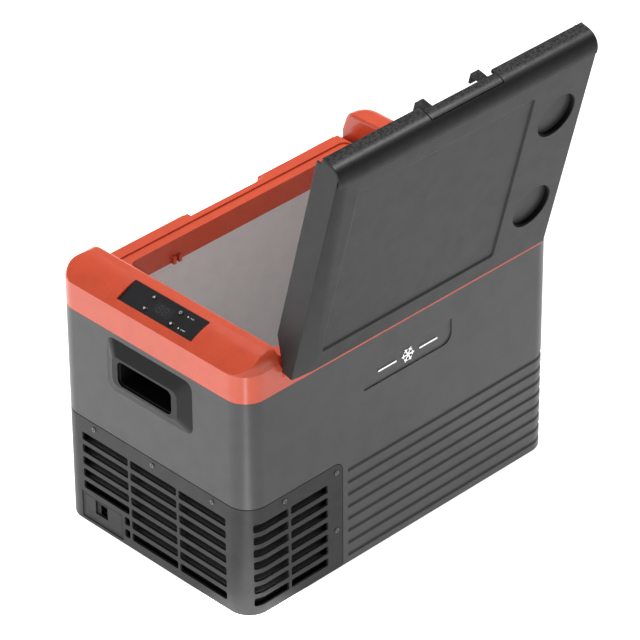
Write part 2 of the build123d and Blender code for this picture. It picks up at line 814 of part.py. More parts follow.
def lid_end_view(y=0.0):
    """The plane through the lid that shows its section along X, seen from the latch side."""
    return Plane(
        origin=lid_plane.origin + lid_plane.y_dir * y,
        x_dir=(1, 0, 0),
        z_dir=lid_plane.y_dir * -1,
    )


def bevel_wedge(lower):
    """What the sloping strip along the panel end takes off the lid's top."""
    Polygon(
        (lid_x0 - 1, lid_top_z - bevel_drop - lower),
        (lid_x0 + bevel_run, lid_top_z - lower),
        (lid_x0 + bevel_run, lid_top_z + 10),
        (lid_x0 - 1, lid_top_z + 10),
        align=None,
    )


# Everything inside the lid's walls, down past its underside.
with BuildPart() as lid_room:
    with BuildSketch(lid_section(lid_x0 + lid_wall)):
        lid_area(-lid_wall - trim_inset, 2 * lid_side_bottom)
    extrude(amount=lid_length - 2 * lid_wall)
    with BuildSketch(lid_end_view()):
        bevel_wedge(lid_wall + trim_inset)
    extrude(amount=-body_width, both=True, mode=Mode.SUBTRACT)
    with BuildSketch(lid_plane.offset(lid_top_z - cup_depth - lid_wall)):
        with Locations(*cup_spots):
            Circle(cup_radius + lid_wall)
    extrude(amount=cup_depth + lid_wall, mode=Mode.SUBTRACT)

with BuildPart() as nose_room:
    with BuildSketch(lid_section(lid_x0)):
        lid_area(-trim_inset, 2 * lid_side_bottom)
        with Locations((trim_start - body_width / 2, 0)):
            Rectangle(body_width, 4 * lid_side_drop)
    extrude(amount=lid_length)

paddle_x0 = lid_mid_x - paddle_width / 2
paddle_x1 = lid_mid_x + paddle_width / 2

with BuildPart() as lid_shell:
    with BuildSketch(lid_section(lid_x0)):
        lid_area(0, lid_side_bottom)
    extrude(amount=lid_length)
    add(nose_room.part, mode=Mode.INTERSECT)
    with BuildSketch(lid_end_view()):
        bevel_wedge(0)
    extrude(amount=-body_width, both=True, mode=Mode.SUBTRACT)
    add(lid_room.part, mode=Mode.SUBTRACT)
    # The skirt stops short at the latch side, and the end walls slope up at the hinge side.
    with BuildSketch(lid_section(lid_x0)):
        with Locations((lid_front - skirt_depth, lid_skirt_bottom)):
            Rectangle(4 * skirt_depth, lid_side_drop, align=(Align.MIN, Align.MAX))
        Polygon(
            (2 * lid_rear, 2 * lid_side_bottom),
            (2 * lid_rear, lid_rear_bottom),
            (0, lid_rear_bottom),
            (rear_slope_end, lid_side_bottom),
            (rear_slope_end, 2 * lid_side_bottom),
            align=None,
        )
    extrude(amount=lid_length, mode=Mode.SUBTRACT)
    # Sunk field and the two cup recesses.
    with BuildSketch(lid_plane.offset(lid_top_z)):
        with Locations(((field_x[0] + field_x[1]) / 2, (field_y[0] + field_y[1]) / 2)):
            RectangleRounded(field_x[1] - field_x[0], field_y[1] - field_y[0], field_radius)
    extrude(
        amount=-field_depth,
        taper=degrees(atan2(field_slope, field_depth)),
        mode=Mode.SUBTRACT,
    )
    with BuildSketch(lid_plane.offset(lid_top_z)):
        with Locations(*cup_spots):
            Circle(cup_radius)
    extrude(amount=-cup_depth, mode=Mode.SUBTRACT)
    # Opening for the latch, and the ears that hold its pin.
    with BuildSketch(lid_section(paddle_x0 - paddle_gap)):
        with Locations((lid_front - 12, paddle_top + paddle_gap)):
            Rectangle(40, 2 * lid_side_drop, align=(Align.MIN, Align.MAX))
    extrude(amount=paddle_width + 2 * paddle_gap, mode=Mode.SUBTRACT)
    for start in (paddle_x0 - paddle_gap - latch_ear_length, paddle_x1 + paddle_gap):
        with BuildSketch(lid_section(start)):
            with Locations((latch_y, latch_z)):
                Circle(latch_ear_radius)
        extrude(amount=latch_ear_length)
        with BuildSketch(lid_section(start)):
            with Locations((latch_y, latch_z)):
                Circle(latch_pin_radius + latch_clearance)
        extrude(amount=latch_ear_length, mode=Mode.SUBTRACT)
    # Knuckles reach down from the roof to the hinge pins.
    for spot in hinge_spots:
        with BuildSketch(lid_section(spot - knuckle_length / 2)):
            Circle(knuckle_radius)
            with Locations((0, (lid_top_z - lid_wall) / 2)):
                Rectangle(2 * knuckle_radius - 1, lid_top_z - lid_wall)
            Circle(hinge_pin_radius + hinge_clearance, mode=Mode.SUBTRACT)
        extrude(amount=knuckle_length)
lid_shell.part.label = "lid_shell"
export_step(lid_shell.part, "parts/lid_shell.step")

with BuildPart() as lid_front_trim:
    with BuildSketch(lid_section(lid_x0)):
        lid_area(trim_proud, lid_skirt_bottom)
        with Locations((trim_start - body_width / 2, 0)):
            Rectangle(body_width, 4 * lid_side_drop, mode=Mode.SUBTRACT)
    extrude(amount=lid_length)
    add(nose_room.part, mode=Mode.SUBTRACT)
    with BuildSketch(lid_section(paddle_x0 - paddle_gap)):
        with Locations((lid_front - 12, paddle_top + paddle_gap)):
            Rectangle(40, 2 * lid_side_drop, align=(Align.MIN, Align.MAX))
    extrude(amount=paddle_width + 2 * paddle_gap, mode=Mode.SUBTRACT)
lid_front_trim.part.label = "lid_front_trim"
export_step(lid_front_trim.part, "parts/lid_front_trim.step")

with BuildPart() as latch_paddle:
    with BuildSketch(lid_section(paddle_x0)):
        lid_area(trim_proud, lid_skirt_bottom)
        with Locations((lid_front - 10, paddle_bottom)):
            Rectangle(
                30,
                paddle_top - paddle_bottom,
                align=(Align.MIN, Align.MIN),
                mode=Mode.INTERSECT,
            )
    extrude(amount=paddle_width)
    add(nose_room.part, mode=Mode.SUBTRACT)
    for x in hook_spots:
        with BuildSketch(lid_section(x - hook_width / 2)):
            with Locations((latch_y, latch_z)):
                Circle(4.2)
                Rectangle(5.5, 7, align=(Align.MIN, Align.CENTER))
            claw_base = claw_low - hinge_z
            with Locations((latch_y - hook_wall / 2, claw_base)):
                Rectangle(hook_wall, latch_z - claw_base, align=(Align.MIN, Align.MIN))
            with Locations((latch_y + hook_wall / 2, claw_base)):
                Rectangle(claw_reach + hook_wall, claw_height, align=(Align.MAX, Align.MIN))
            with Locations((latch_y, latch_z)):
                Circle(latch_pin_radius + latch_clearance, mode=Mode.SUBTRACT)
        extrude(amount=hook_width)
latch_paddle.part.label = "latch_paddle"
export_step(latch_paddle.part, "parts/latch_paddle.step")

with BuildPart() as latch_pin:
    with BuildSketch(lid_section(paddle_x0 - paddle_gap - latch_ear_length)):
        with Locations((latch_y, latch_z)):
            Circle(latch_pin_radius)
    extrude(amount=paddle_width + 2 * paddle_gap + 2 * latch_ear_length)
latch_pin.part.label = "latch_pin"
export_step(latch_pin.part, "parts/latch_pin.step")

spring_wire = 0.5
spring_pitch = 2.0
spring_turns = 6
with BuildPart() as latch_spring:
    coil_start = lid_section(lid_mid_x - spring_turns * spring_pitch / 2)
    for turn in range(spring_turns):
        ring = coil_start.offset(turn * spring_pitch)
        with BuildSketch(ring):
            with Locations((latch_y, latch_z)):
                Circle(latch_pin_radius + 0.3 + 2 * spring_wire)
                Circle(latch_pin_radius + 0.3, mode=Mode.SUBTRACT)
        extrude(amount=2 * spring_wire)
    with BuildSketch(coil_start):
        with Locations((latch_y - latch_pin_radius - 0.3 - spring_wire, latch_z)):
            Rectangle(2 * spring_wire, 2 * spring_wire)
    extrude(amount=(spring_turns - 1) * spring_pitch + 2 * spring_wire)
latch_spring.part.label = "latch_spring"
export_step(latch_spring.part, "parts/latch_spring.step")

# ---- Lid liner, foam and gasket ----
liner_rear = hinge_inset + 10.0
liner_front = lid_front - 22.0
plug_x0 = open_x0 + plug_clearance
plug_x1 = open_x1 - plug_clearance
plug_half_y = open_half_y - plug_clearance - 1


def lid_flange_area():
    """The lid liner's flat flange, inside the end walls."""
    with Locations(((lid_x0 + lid_x1) / 2, (liner_front + liner_rear) / 2)):
        RectangleRounded(lid_length - 2 * lid_wall - 1, liner_front - liner_rear, 8)


def plug_area(inset):
    """The plug that drops into the tub, in plan."""
    with Locations(((plug_x0 + plug_x1) / 2, -hinge_y)):
        RectangleRounded(
            plug_x1 - plug_x0 - 2 * inset, 2 * (plug_half_y - inset), opening_radius - inset
        )


with BuildPart() as lid_liner:
    with BuildSketch(lid_plane.offset(liner_flange_z)):
        lid_flange_area()
    extrude(amount=liner_flange)
    with BuildSketch(lid_plane.offset(liner_flange_z - plug_depth)):
        plug_area(0)
    extrude(amount=plug_depth + liner_flange)
    with BuildSketch(lid_plane.offset(liner_flange_z - plug_depth + liner_wall)):
        plug_area(liner_wall)
    extrude(amount=plug_depth + liner_flange, mode=Mode.SUBTRACT)
lid_liner.part.label = "lid_liner"
export_step(lid_liner.part, "parts/lid_liner.step")

with BuildPart() as lid_foam:
    with BuildSketch(lid_plane.offset(liner_flange_z + liner_flange)):
        lid_flange_area()
    extrude(amount=lid_top_z)
    with BuildSketch(lid_plane.offset(liner_flange_z - plug_depth + liner_wall)):
        plug_area(liner_wall)
    extrude(amount=plug_depth)
    add(lid_room.part, mode=Mode.INTERSECT)
lid_foam.part.label = "lid_foam"
export_step(lid_foam.part, "parts/lid_foam.step")

gasket_width = 8.0
gasket_gap = 0.3
gasket_inset = 2.0
with BuildPart() as lid_gasket:
    with BuildSketch(lid_plane.offset(seat_top + gasket_gap - hinge_z)):
        with Locations((open_mid_x, -hinge_y)):
            RectangleRounded(
                rim_x1 - rim_x0 - 2 * gasket_inset - 1,
                2 * (open_half_y + rim_width - gasket_inset - 0.5),
                opening_radius + gasket_width,
            )
            RectangleRounded(
                rim_x1 - rim_x0 - 2 * gasket_inset - 1 - 2 * gasket_width,
                2 * (open_half_y + rim_width - gasket_inset - 0.5 - gasket_width),
                opening_radius,
                mode=Mode.SUBTRACT,
            )
    extrude(amount=rail_top + 2.0 - seat_top - gasket_gap)
lid_gasket.part.label = "lid_gasket"
export_step(lid_gasket.part, "parts/lid_gasket.step")

# ---- Control panel ----
button_radius = 4.6
button_clearance = 0.1
button_spots = {
    "button_up": (-27.5, 10.4),
    "button_down": (-27.5, -10.8),
    "button_power": (24.7, 9.9),
    "button_settings": (24.7, -10.6),
}
button_proud = 0.9
button_depth = 5.0
window_centre = (-0.5, -0.5)
window_size = (33.0, 17.6)
light_spots = [(39.3, 9.9), (39.3, -10.9)]
indicator_radius = 1.1
board_drop = 7.2

with BuildPart() as control_plate:
    with BuildSketch(panel_plane.offset(-panel_plate)):
        RectangleRounded(panel_length, panel_depth, 1.2)
        with Locations(*button_spots.values()):
            Circle(button_radius + button_clearance, mode=Mode.SUBTRACT)
        with Locations(window_centre):
            Rectangle(*window_size, mode=Mode.SUBTRACT)
        with Locations(*light_spots):
            Circle(indicator_radius, mode=Mode.SUBTRACT)
    extrude(amount=panel_plate)
control_plate.part.label = "control_plate"
export_step(control_plate.part, "parts/control_plate.step")

with BuildPart() as display_window:
    with BuildSketch(panel_plane.offset(-panel_plate)):
        with Locations(window_centre):
            Rectangle(*window_size)
    extrude(amount=panel_plate)
display_window.part.label = "display_window"
export_step(display_window.part, "parts/display_window.step")

with BuildPart() as indicator_lights:
    with BuildSketch(panel_plane.offset(-panel_plate)):
        with Locations(*light_spots):
            Circle(indicator_radius)
    extrude(amount=panel_plate)
indicator_lights.part.label = "indicator_lights"
export_step(indicator_lights.part, "parts/indicator_lights.step")

for node, spot in button_spots.items():
    with BuildPart() as button:
        with BuildSketch(panel_plane.offset(button_proud - button_depth)):
            with Locations(spot):
                Circle(button_radius)
        extrude(amount=button_depth)
        fillet(button.faces().sort_by(Axis(panel_plane.origin, panel_plane.z_dir))[-1].edges(), 0.6)
    button.part.label = node
    export_step(button.part, f"parts/{node}.step")

with BuildPart() as control_board:
    with BuildSketch(panel_plane.offset(-board_drop)):
        Rectangle(panel_length - 16, panel_depth - 14)
    extrude(amount=1.6)
control_board.part.label = "control_board"
export_step(control_board.part, "parts/control_board.step")

# ---- Cooling bay ----
compressor_spot = (-half_length + 128, half_width - 95.7)
compressor_radius = 48.0
compressor_height = 96.0
compressor_dome = 26.0
mount_spacing = (96.0, 70.0)
mount_height = 14.0
mount_radius = 8.0
with BuildPart() as compressor:
    with BuildSketch(Plane.XY.offset(pan_top + mount_height)):
        with Locations(compressor_spot):
            RectangleRounded(mount_spacing[0] + 24, mount_spacing[1] + 24, 8)
    extrude(amount=3)
    with BuildSketch(Plane.XY.offset(pan_top + mount_height)):
        with Locations(compressor_spot):
            Circle(compressor_radius)
    extrude(amount=compressor_height + compressor_dome)
    fillet(
        compressor.faces().sort_by(Axis.Z)[-1].edges(), compressor_dome
    )
    with BuildSketch(Plane.XY.offset(pan_top + mount_height + 58)):
        with Locations((compressor_spot[0], compressor_spot[1] - compressor_radius)):
            Rectangle(34, 26)
    extrude(amount=34)
compressor.part.label = "compressor"
export_step(compressor.part, "parts/compressor.step")

with BuildPart() as compressor_mounts:
    with BuildSketch(Plane.XY.offset(pan_top)):
        with Locations(compressor_spot):
            with GridLocations(*mount_spacing, 2, 2):
                Circle(mount_radius)
    extrude(amount=mount_height)
compressor_mounts.part.label = "compressor_mounts"
export_step(compressor_mounts.part, "parts/compressor_mounts.step")

fan_x = -half_length + 38
fan_y = 105.7 - half_width
fan_size = 120.0
fan_wall = 25.0
fan_z = pan_top + 12 + fan_size / 2
fan_bore = 56.0
hub_radius = 20.0
blade_radius = 53.0
blade_count = 7
with BuildPart() as fan_shroud:
    with BuildSketch(Plane.YZ.offset(fan_x)):
        with Locations((fan_y, fan_z)):
            RectangleRounded(fan_size, fan_size, 5)
            Circle(fan_bore, mode=Mode.SUBTRACT)
    extrude(amount=fan_wall)
    with BuildSketch(Plane.YZ.offset(fan_x + fan_wall - 3)):
        with Locations((fan_y, fan_z)):
            Circle(hub_radius + 2)
            with PolarLocations(0, 4, rotate=True, start_angle=45):
                with Locations((fan_bore / 2 + 8, 0)):
                    Rectangle(fan_bore - 12, 5)
    extrude(amount=3)
    with BuildSketch(Plane.YZ.offset(fan_x)):
        with Locations((fan_y - fan_size / 2 + 12, pan_top), (fan_y + fan_size / 2 - 12, pan_top)):
            Rectangle(16, 14, align=(Align.CENTER, Align.MIN))
    extrude(amount=fan_wall)
fan_shroud.part.label = "fan_shroud"
export_step(fan_shroud.part, "parts/fan_shroud.step")

with BuildPart() as blade:
    with BuildSketch(Plane.XY.offset(fan_z + hub_radius - 2)):
        with Locations(Location((fan_x + fan_wall / 2 - 1, fan_y, 0), (0, 0, 38))):
            Rectangle(2.2, 20)
    with BuildSketch(Plane.XY.offset(fan_z + blade_radius)):
        with Locations(Location((fan_x + fan_wall / 2 - 1, fan_y, 0), (0, 0, 48))):
            Rectangle(1.6, 24)
    loft()

with BuildPart() as fan_rotor:
    with BuildSketch(Plane.YZ.offset(fan_x + 3)):
        with Locations((fan_y, fan_z)):
            Circle(hub_radius)
    extrude(amount=fan_wall - 7)
    for n in range(blade_count):
        add(blade.part.rotate(Axis((fan_x, fan_y, fan_z), (1, 0, 0)), n * 360 / blade_count))
fan_rotor.part.label = "fan_rotor"
export_step(fan_rotor.part, "parts/fan_rotor.step")

condenser_x = fan_x + fan_wall + 6
condenser_depth = 40.0
condenser_span = 128.0
condenser_base = pan_top + 4
condenser_tubes = 5
fin_pitch = 8.0
fin_wall = 1.0
fin_count = int(condenser_span / fin_pitch) + 1
tube_radius = 3.0
with BuildPart() as condenser:
    for n in range(fin_count):
        with BuildSketch(Plane.XZ.offset(-fan_y - condenser_span / 2 + n * fin_pitch)):
            with Locations((condenser_x + condenser_depth / 2, condenser_base + condenser_span / 2)):
                Rectangle(condenser_depth, condenser_span)
        extrude(amount=fin_wall)
    with BuildSketch(Plane.XZ.offset(-fan_y - condenser_span / 2 - 6)):
        with Locations((condenser_x + condenser_depth / 2, condenser_base + condenser_span / 2)):
            with GridLocations(condenser_depth / 2, condenser_span / condenser_tubes, 2, condenser_tubes):
                Circle(tube_radius)
    extrude(amount=condenser_span + 12)
condenser.part.label = "condenser"
export_step(condenser.part, "parts/condenser.step")

with BuildPart() as main_board:
    with BuildSketch(Plane.XY.offset(pan_top + 4)):
        with Locations((compressor_spot[0] + 20, fan_y)):
            Rectangle(70, 130)
    extrude(amount=1.6)
    with BuildSketch(Plane.XY.offset(pan_top)):
        with Locations((compressor_spot[0] + 20, fan_y)):
            with GridLocations(56, 116, 2, 2):
                Circle(3)
    extrude(amount=5)
    with BuildSketch(Plane.XY.offset(pan_top + 5.6)):
        with Locations((compressor_spot[0] + 32, fan_y + 30), (compressor_spot[0] + 32, fan_y)):
            Circle(9)
        with Locations((compressor_spot[0] + 5, fan_y - 20)):
            Rectangle(24, 40)
    extrude(amount=24)
main_board.part.label = "main_board"
export_step(main_board.part, "parts/main_board.step")

drier_spot = (bay_end_x - 22, 20.0)
drier_radius = 9.0
drier_base = pan_top + 50
drier_length = 70.0
with BuildPart() as filter_drier:
    with BuildSketch(Plane.XY.offset(drier_base)):
        with Locations(drier_spot):
            Circle(drier_radius)
    extrude(amount=drier_length)
    chamfer(filter_drier.faces().group_by(Axis.Z)[0].edges(), 4)
    chamfer(filter_drier.faces().group_by(Axis.Z)[-1].edges(), 4)
filter_drier.part.label = "filter_drier"
export_step(filter_drier.part, "parts/filter_drier.step")

line_radius = 3.0
line_start = (compressor_spot[0] + compressor_radius, compressor_spot[1], pan_top + mount_height + 40)
with BuildPart() as refrigerant_lines:
    with BuildLine():
        suction = FilletPolyline(
            line_start,
            (bay_end_x - 7, line_start[1], line_start[2]),
            (bay_end_x - 7, line_start[1], bay_top - 12),
            (bay_end_x - 7, drier_spot[1] - 40, bay_top - 12),
            radius=8,
        )
    with BuildSketch(Plane(origin=line_start, z_dir=(1, 0, 0))):
        Circle(line_radius)
    sweep(path=suction)
    with BuildSketch(Plane.XY.offset(drier_base + drier_length)):
        with Locations(drier_spot):
            Circle(1.6)
    extrude(amount=bay_top - 6 - drier_base - drier_length)
refrigerant_lines.part.label = "refrigerant_lines"
export_step(refrigerant_lines.part, "parts/refrigerant_lines.step")
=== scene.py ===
# %% [markdown]
# # A compressor cooler fridge
# The engineering model comes in as a fixed frame, already in metres and already in its place.
# This lesson gives it its looks: rounded edges, moulded and metal finishes, and the small parts
# that are too fine for the engineering model. Every new piece rides on one of its bodies.

# %% Load the frame
import json
import math

import bmesh
import bpy
import numpy as np
from mathutils import Matrix, Vector


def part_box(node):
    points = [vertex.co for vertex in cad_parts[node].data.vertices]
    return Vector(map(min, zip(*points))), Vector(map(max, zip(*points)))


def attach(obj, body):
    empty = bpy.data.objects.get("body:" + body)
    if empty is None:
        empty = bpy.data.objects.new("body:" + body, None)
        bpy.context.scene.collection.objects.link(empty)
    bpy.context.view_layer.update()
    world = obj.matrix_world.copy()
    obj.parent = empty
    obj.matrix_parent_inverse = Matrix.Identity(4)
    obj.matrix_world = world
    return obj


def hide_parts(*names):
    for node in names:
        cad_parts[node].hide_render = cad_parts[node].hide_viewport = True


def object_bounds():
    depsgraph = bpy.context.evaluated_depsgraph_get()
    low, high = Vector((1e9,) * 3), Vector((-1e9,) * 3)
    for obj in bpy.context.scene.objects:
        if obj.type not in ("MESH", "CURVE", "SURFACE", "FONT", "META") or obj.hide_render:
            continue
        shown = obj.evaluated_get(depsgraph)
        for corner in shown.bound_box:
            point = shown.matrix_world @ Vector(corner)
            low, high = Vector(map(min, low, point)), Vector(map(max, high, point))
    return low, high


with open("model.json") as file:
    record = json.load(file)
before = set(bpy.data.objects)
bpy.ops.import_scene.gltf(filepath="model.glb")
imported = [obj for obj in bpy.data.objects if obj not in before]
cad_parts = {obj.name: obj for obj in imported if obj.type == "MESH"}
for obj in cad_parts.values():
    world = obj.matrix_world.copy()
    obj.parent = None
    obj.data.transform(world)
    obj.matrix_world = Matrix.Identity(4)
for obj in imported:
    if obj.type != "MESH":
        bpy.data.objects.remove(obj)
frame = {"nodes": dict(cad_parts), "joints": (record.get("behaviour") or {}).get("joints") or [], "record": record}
cad_low, cad_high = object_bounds()
nodes = frame["nodes"]
record = frame["record"]
body_of = {n: body for body, names in record["behaviour"]["bodies"].items() for n in names}
slot_of = {part["node"]: part["material_slot"] for part in record["subparts"]}
MM = 0.001
print("CAD box", [round(v, 4) for v in cad_low], [round(v, 4) for v in cad_high])

# %% [markdown]
# ## The camera
# A product shot is taken from far away with a long lens, so that parallel edges stay parallel.
# The camera could be aimed with a constraint, but a written-out turn of three axes is exact:
# one axis points back from the subject, and the other two are level with it and rolled a little.

# %% Place the camera
AZIMUTH, ELEVATION, ROLL = (math.radians(a) for a in (-44.384, 34.033, -0.386))
DISTANCE, SLIDE_RIGHT, SLIDE_UP = 6.010495, 0.016199, 0.056229
TARGET = Vector((0, 0, 0.2))

back = Vector(
    (
        math.sin(AZIMUTH) * math.cos(ELEVATION),
        -math.cos(AZIMUTH) * math.cos(ELEVATION),
        math.sin(ELEVATION),
    )
)
level = Vector((0, 0, 1)).cross(back).normalized()
rise = back.cross(level)
right = math.cos(ROLL) * level + math.sin(ROLL) * rise
up = -math.sin(ROLL) * level + math.cos(ROLL) * rise

camera_data = bpy.data.cameras.new("studio_camera")
camera_data.lens = 240.42
camera_data.sensor_width = 36
camera_data.clip_end = 60
camera = bpy.data.objects.new("studio_camera", camera_data)
turn = Matrix((right, up, back)).transposed().to_4x4()
camera.matrix_world = (
    Matrix.Translation(TARGET + DISTANCE * back + SLIDE_RIGHT * right + SLIDE_UP * up) @ turn
)
bpy.context.scene.collection.objects.link(camera)
bpy.context.scene.camera = camera
print("camera at", [round(v, 3) for v in camera.matrix_world.translation])

# %% [markdown]
# ## Light
# Satin plastic mirrors what stands round it. Here a bright table lies under the fridge, so its
# upright faces look washed and pale, and the sky overhead is dim, so slopes and tops keep their
# deep colour. A soft box high on the far side lights the tops, and a low one on the left makes
# the end a little brighter than the long side, which tells the eye where the corner is. A last
# small lamp is seen only in glossy faces: it puts a spark on the rounded humps.

# %% Light the studio
world = bpy.data.worlds.new("studio_tent")
world.use_nodes = True
sky_tree = world.node_tree
direction = sky_tree.nodes.new("ShaderNodeTexCoord")
height = sky_tree.nodes.new("ShaderNodeSeparateXYZ")
sky = sky_tree.nodes.new("ShaderNodeValToRGB")
sky_tree.links.new(direction.outputs["Generated"], height.inputs["Vector"])
sky_tree.links.new(height.outputs["Z"], sky.inputs["Fac"])
sky_tree.links.new(sky.outputs["Color"], sky_tree.nodes["Background"].inputs["Color"])
sky.color_ramp.elements[0].position = 0.03
sky.color_ramp.elements[0].color = (1, 1, 1, 1)
sky.color_ramp.elements[1].position = 0.45
sky.color_ramp.elements[1].color = (0.24, 0.24, 0.25, 1)
bpy.context.scene.world = world
bpy.context.scene.view_settings.view_transform = "Standard"


def soft_box(name, place, size, watts, mirrored=True):
    """A square area light at a place in metres, facing the object, mirrored in gloss or not."""
    data = bpy.data.lights.new(name, "AREA")
    data.size = size
    data.energy = watts
    light = bpy.data.objects.new(name, data)
    light.visible_glossy = mirrored
    light.location = place
    light.rotation_euler = (TARGET - Vector(place)).to_track_quat("-Z", "Y").to_euler()
    bpy.context.scene.collection.objects.link(light)
    return light


soft_box("soft_box_far", (1.3, 1.7, 3.4), 1.6, 165, mirrored=False)
soft_box("soft_box_left", (-3.8, -0.4, 1.3), 1.6, 26, mirrored=False)
spark = soft_box("small_spark", (1.7, -1.0, 3.7), 0.4, 110)
spark.visible_diffuse = False
print("lights:", len(bpy.data.lights))

# %% [markdown]
# ## Two tools for materials
# A colour is written the way a paint chart gives it, as sRGB hex, and turned to linear light once.
# A material is a small circuit of nodes. One function adds any node, sets it and joins it up, so
# each finish below reads as a list of what it is made of.


# %% Colour and node tools
def paint(code):
    """Linear colour of an sRGB hex code.

    Each value is (v + 0.055) / 1.055 to the power 2.4, or v / 12.92 near black.
    """
    values = np.array([int(code[i : i + 2], 16) / 255 for i in (1, 3, 5)])
    linear = np.where(values <= 0.04045, values / 12.92, ((values + 0.055) / 1.055) ** 2.4)
    return (*linear.tolist(), 1.0)


def add_node(tree, kind, links=(), **settings):
    """Adds a node. A setting is a property of the node, or else the value of the input so named.

    Links are (input, node, output) rows that join it to nodes already in the tree.
    """
    node = tree.nodes.new(kind)
    for key, value in settings.items():
        if hasattr(node, key):
            setattr(node, key, value)
        else:
            node.inputs[key.replace("_", " ")].default_value = value
    for socket, other, output in links:
        tree.links.new(other.outputs[output], node.inputs[socket])
    return node


def start_finish(name, code, roughness, **shader_values):
    """A new material, its tree, its shader with constants set on it, and Object coordinates."""
    finish = bpy.data.materials.new(name)
    finish.use_nodes = True
    tree = finish.node_tree
    shader = tree.nodes["Principled BSDF"]
    shader.inputs["Base Color"].default_value = paint(code)
    shader.inputs["Roughness"].default_value = roughness
    for key, value in shader_values.items():
        shader.inputs[key.replace("_", " ")].default_value = value
    finish.diffuse_color = paint(code)
    return finish, tree, shader, add_node(tree, "ShaderNodeTexCoord")


def per_metre(millimetres):
    """The scale that gives a noise or cell pattern features of that size on metre coordinates."""
    return 1000 / millimetres


print("colour of the grey casing:", [round(v, 3) for v in paint("#404041")])

# %% [markdown]
# ## The light table
# A product is often shot on a sheet of milky acrylic lit from below. The sheet glows, so no hard
# shadow falls on it. A tube under the middle makes one narrow strip brighter, which the rounded
# corner mirrors as a pale stripe, and the left side glows more than the right. It is one flat
# face, with a colour ramp across the table for the glow and a faint cloudiness in the acrylic.

# %% Floor
FLOOR_HALF = 12.0
FLOOR_DROP = 0.0003
floor_mesh = bpy.data.meshes.new("light_table")
floor_mesh.from_pydata(
    [
        (x * FLOOR_HALF, y * FLOOR_HALF, cad_low.z - FLOOR_DROP)
        for x, y in ((-1, -1), (1, -1), (1, 1), (-1, 1))
    ],
    [],
    [(0, 1, 2, 3)],
)
floor = bpy.data.objects.new("light_table", floor_mesh)
bpy.context.scene.collection.objects.link(floor)

acrylic, tree, shader, coordinates = start_finish("milky_acrylic", "#A0A0A0", 0.9)
across = add_node(
    tree,
    "ShaderNodeVectorMath",
    [(0, coordinates, "Object")],
    operation="DOT_PRODUCT",
)
across.inputs[1].default_value = (-0.7, 0.7, 0)
table_place = add_node(
    tree, "ShaderNodeMapRange", [("Value", across, "Value")], From_Min=-0.8, From_Max=0.8
)
glow = add_node(tree, "ShaderNodeValToRGB", [("Fac", table_place, "Result")])
for place, strength in ((0.5, 1.0), (0.53, 5.0), (0.56, 5.0), (0.6, 1.25)):
    glow.color_ramp.elements.new(place).color = (strength, strength, strength, 1)
glow.color_ramp.elements[0].color = (1, 1, 1, 1)
glow.color_ramp.elements[-1].color = (1.45, 1.45, 1.45, 1)
cloud = add_node(
    tree, "ShaderNodeTexNoise", [("Vector", coordinates, "Object")], Scale=per_metre(300)
)
milk = add_node(tree, "ShaderNodeValToRGB", [("Fac", cloud, "Fac")])
milk.color_ramp.elements[0].color = paint("#FAFAFA")
milk.color_ramp.elements[1].color = paint("#FFFFFF")
tree.links.new(milk.outputs["Color"], shader.inputs["Emission Color"])
tree.links.new(glow.outputs["Color"], shader.inputs["Emission Strength"])
floor_mesh.materials.append(acrylic)
print("floor at", round(cad_low.z - FLOOR_DROP, 5))

# %% [markdown]
# ## Moulded plastic
# The casing, lid and grille are ABS, shot into a mould whose walls were etched with a fine grain.
# The grain gives the eye three things: a soft broken highlight, a faint mottle, and tiny dark
# pits. Noise could drive only the bump, but the same noise also shifts roughness and colour a
# little, because on the real part a pit is both rougher and darker. A real grain is about 0.3 mm,
# which is too fine to show from here, so it is drawn five times as coarse.


# %% Moulded plastic finishes
def moulded(name, code, deep_code, roughness, grain=1.5, pit=0.12, patch=25.0, **shader_values):
    """Etched moulded plastic. Grain and patch are feature sizes in mm, and pit the depth in mm."""
    finish, tree, shader, coordinates = start_finish(name, code, roughness, **shader_values)
    grain_noise = add_node(
        tree,
        "ShaderNodeTexNoise",
        [("Vector", coordinates, "Object")],
        Scale=per_metre(grain),
        Detail=3,
    )
    patch_noise = add_node(
        tree,
        "ShaderNodeTexNoise",
        [("Vector", coordinates, "Object")],
        Scale=per_metre(patch),
        Detail=2,
    )
    mottle = add_node(
        tree,
        "ShaderNodeMath",
        [(0, grain_noise, "Fac"), (1, patch_noise, "Fac")],
        operation="MULTIPLY",
    )
    tone = add_node(tree, "ShaderNodeValToRGB", [("Fac", mottle, "Value")])
    tone.color_ramp.elements[0].position = 0.12
    tone.color_ramp.elements[0].color = paint(deep_code)
    tone.color_ramp.elements[1].position = 0.32
    tone.color_ramp.elements[1].color = paint(code)
    gloss = add_node(
        tree,
        "ShaderNodeMapRange",
        [("Value", mottle, "Value")],
        From_Min=0.1,
        From_Max=0.4,
        To_Min=min(roughness + 0.03, 1),
        To_Max=roughness - 0.03,
    )
    relief = add_node(
        tree,
        "ShaderNodeBump",
        [("Height", grain_noise, "Fac")],
        Strength=0.5,
        Distance=pit * MM,
    )
    tree.links.new(tone.outputs["Color"], shader.inputs["Base Color"])
    tree.links.new(gloss.outputs["Result"], shader.inputs["Roughness"])
    tree.links.new(relief.outputs["Normal"], shader.inputs["Normal"])
    return finish


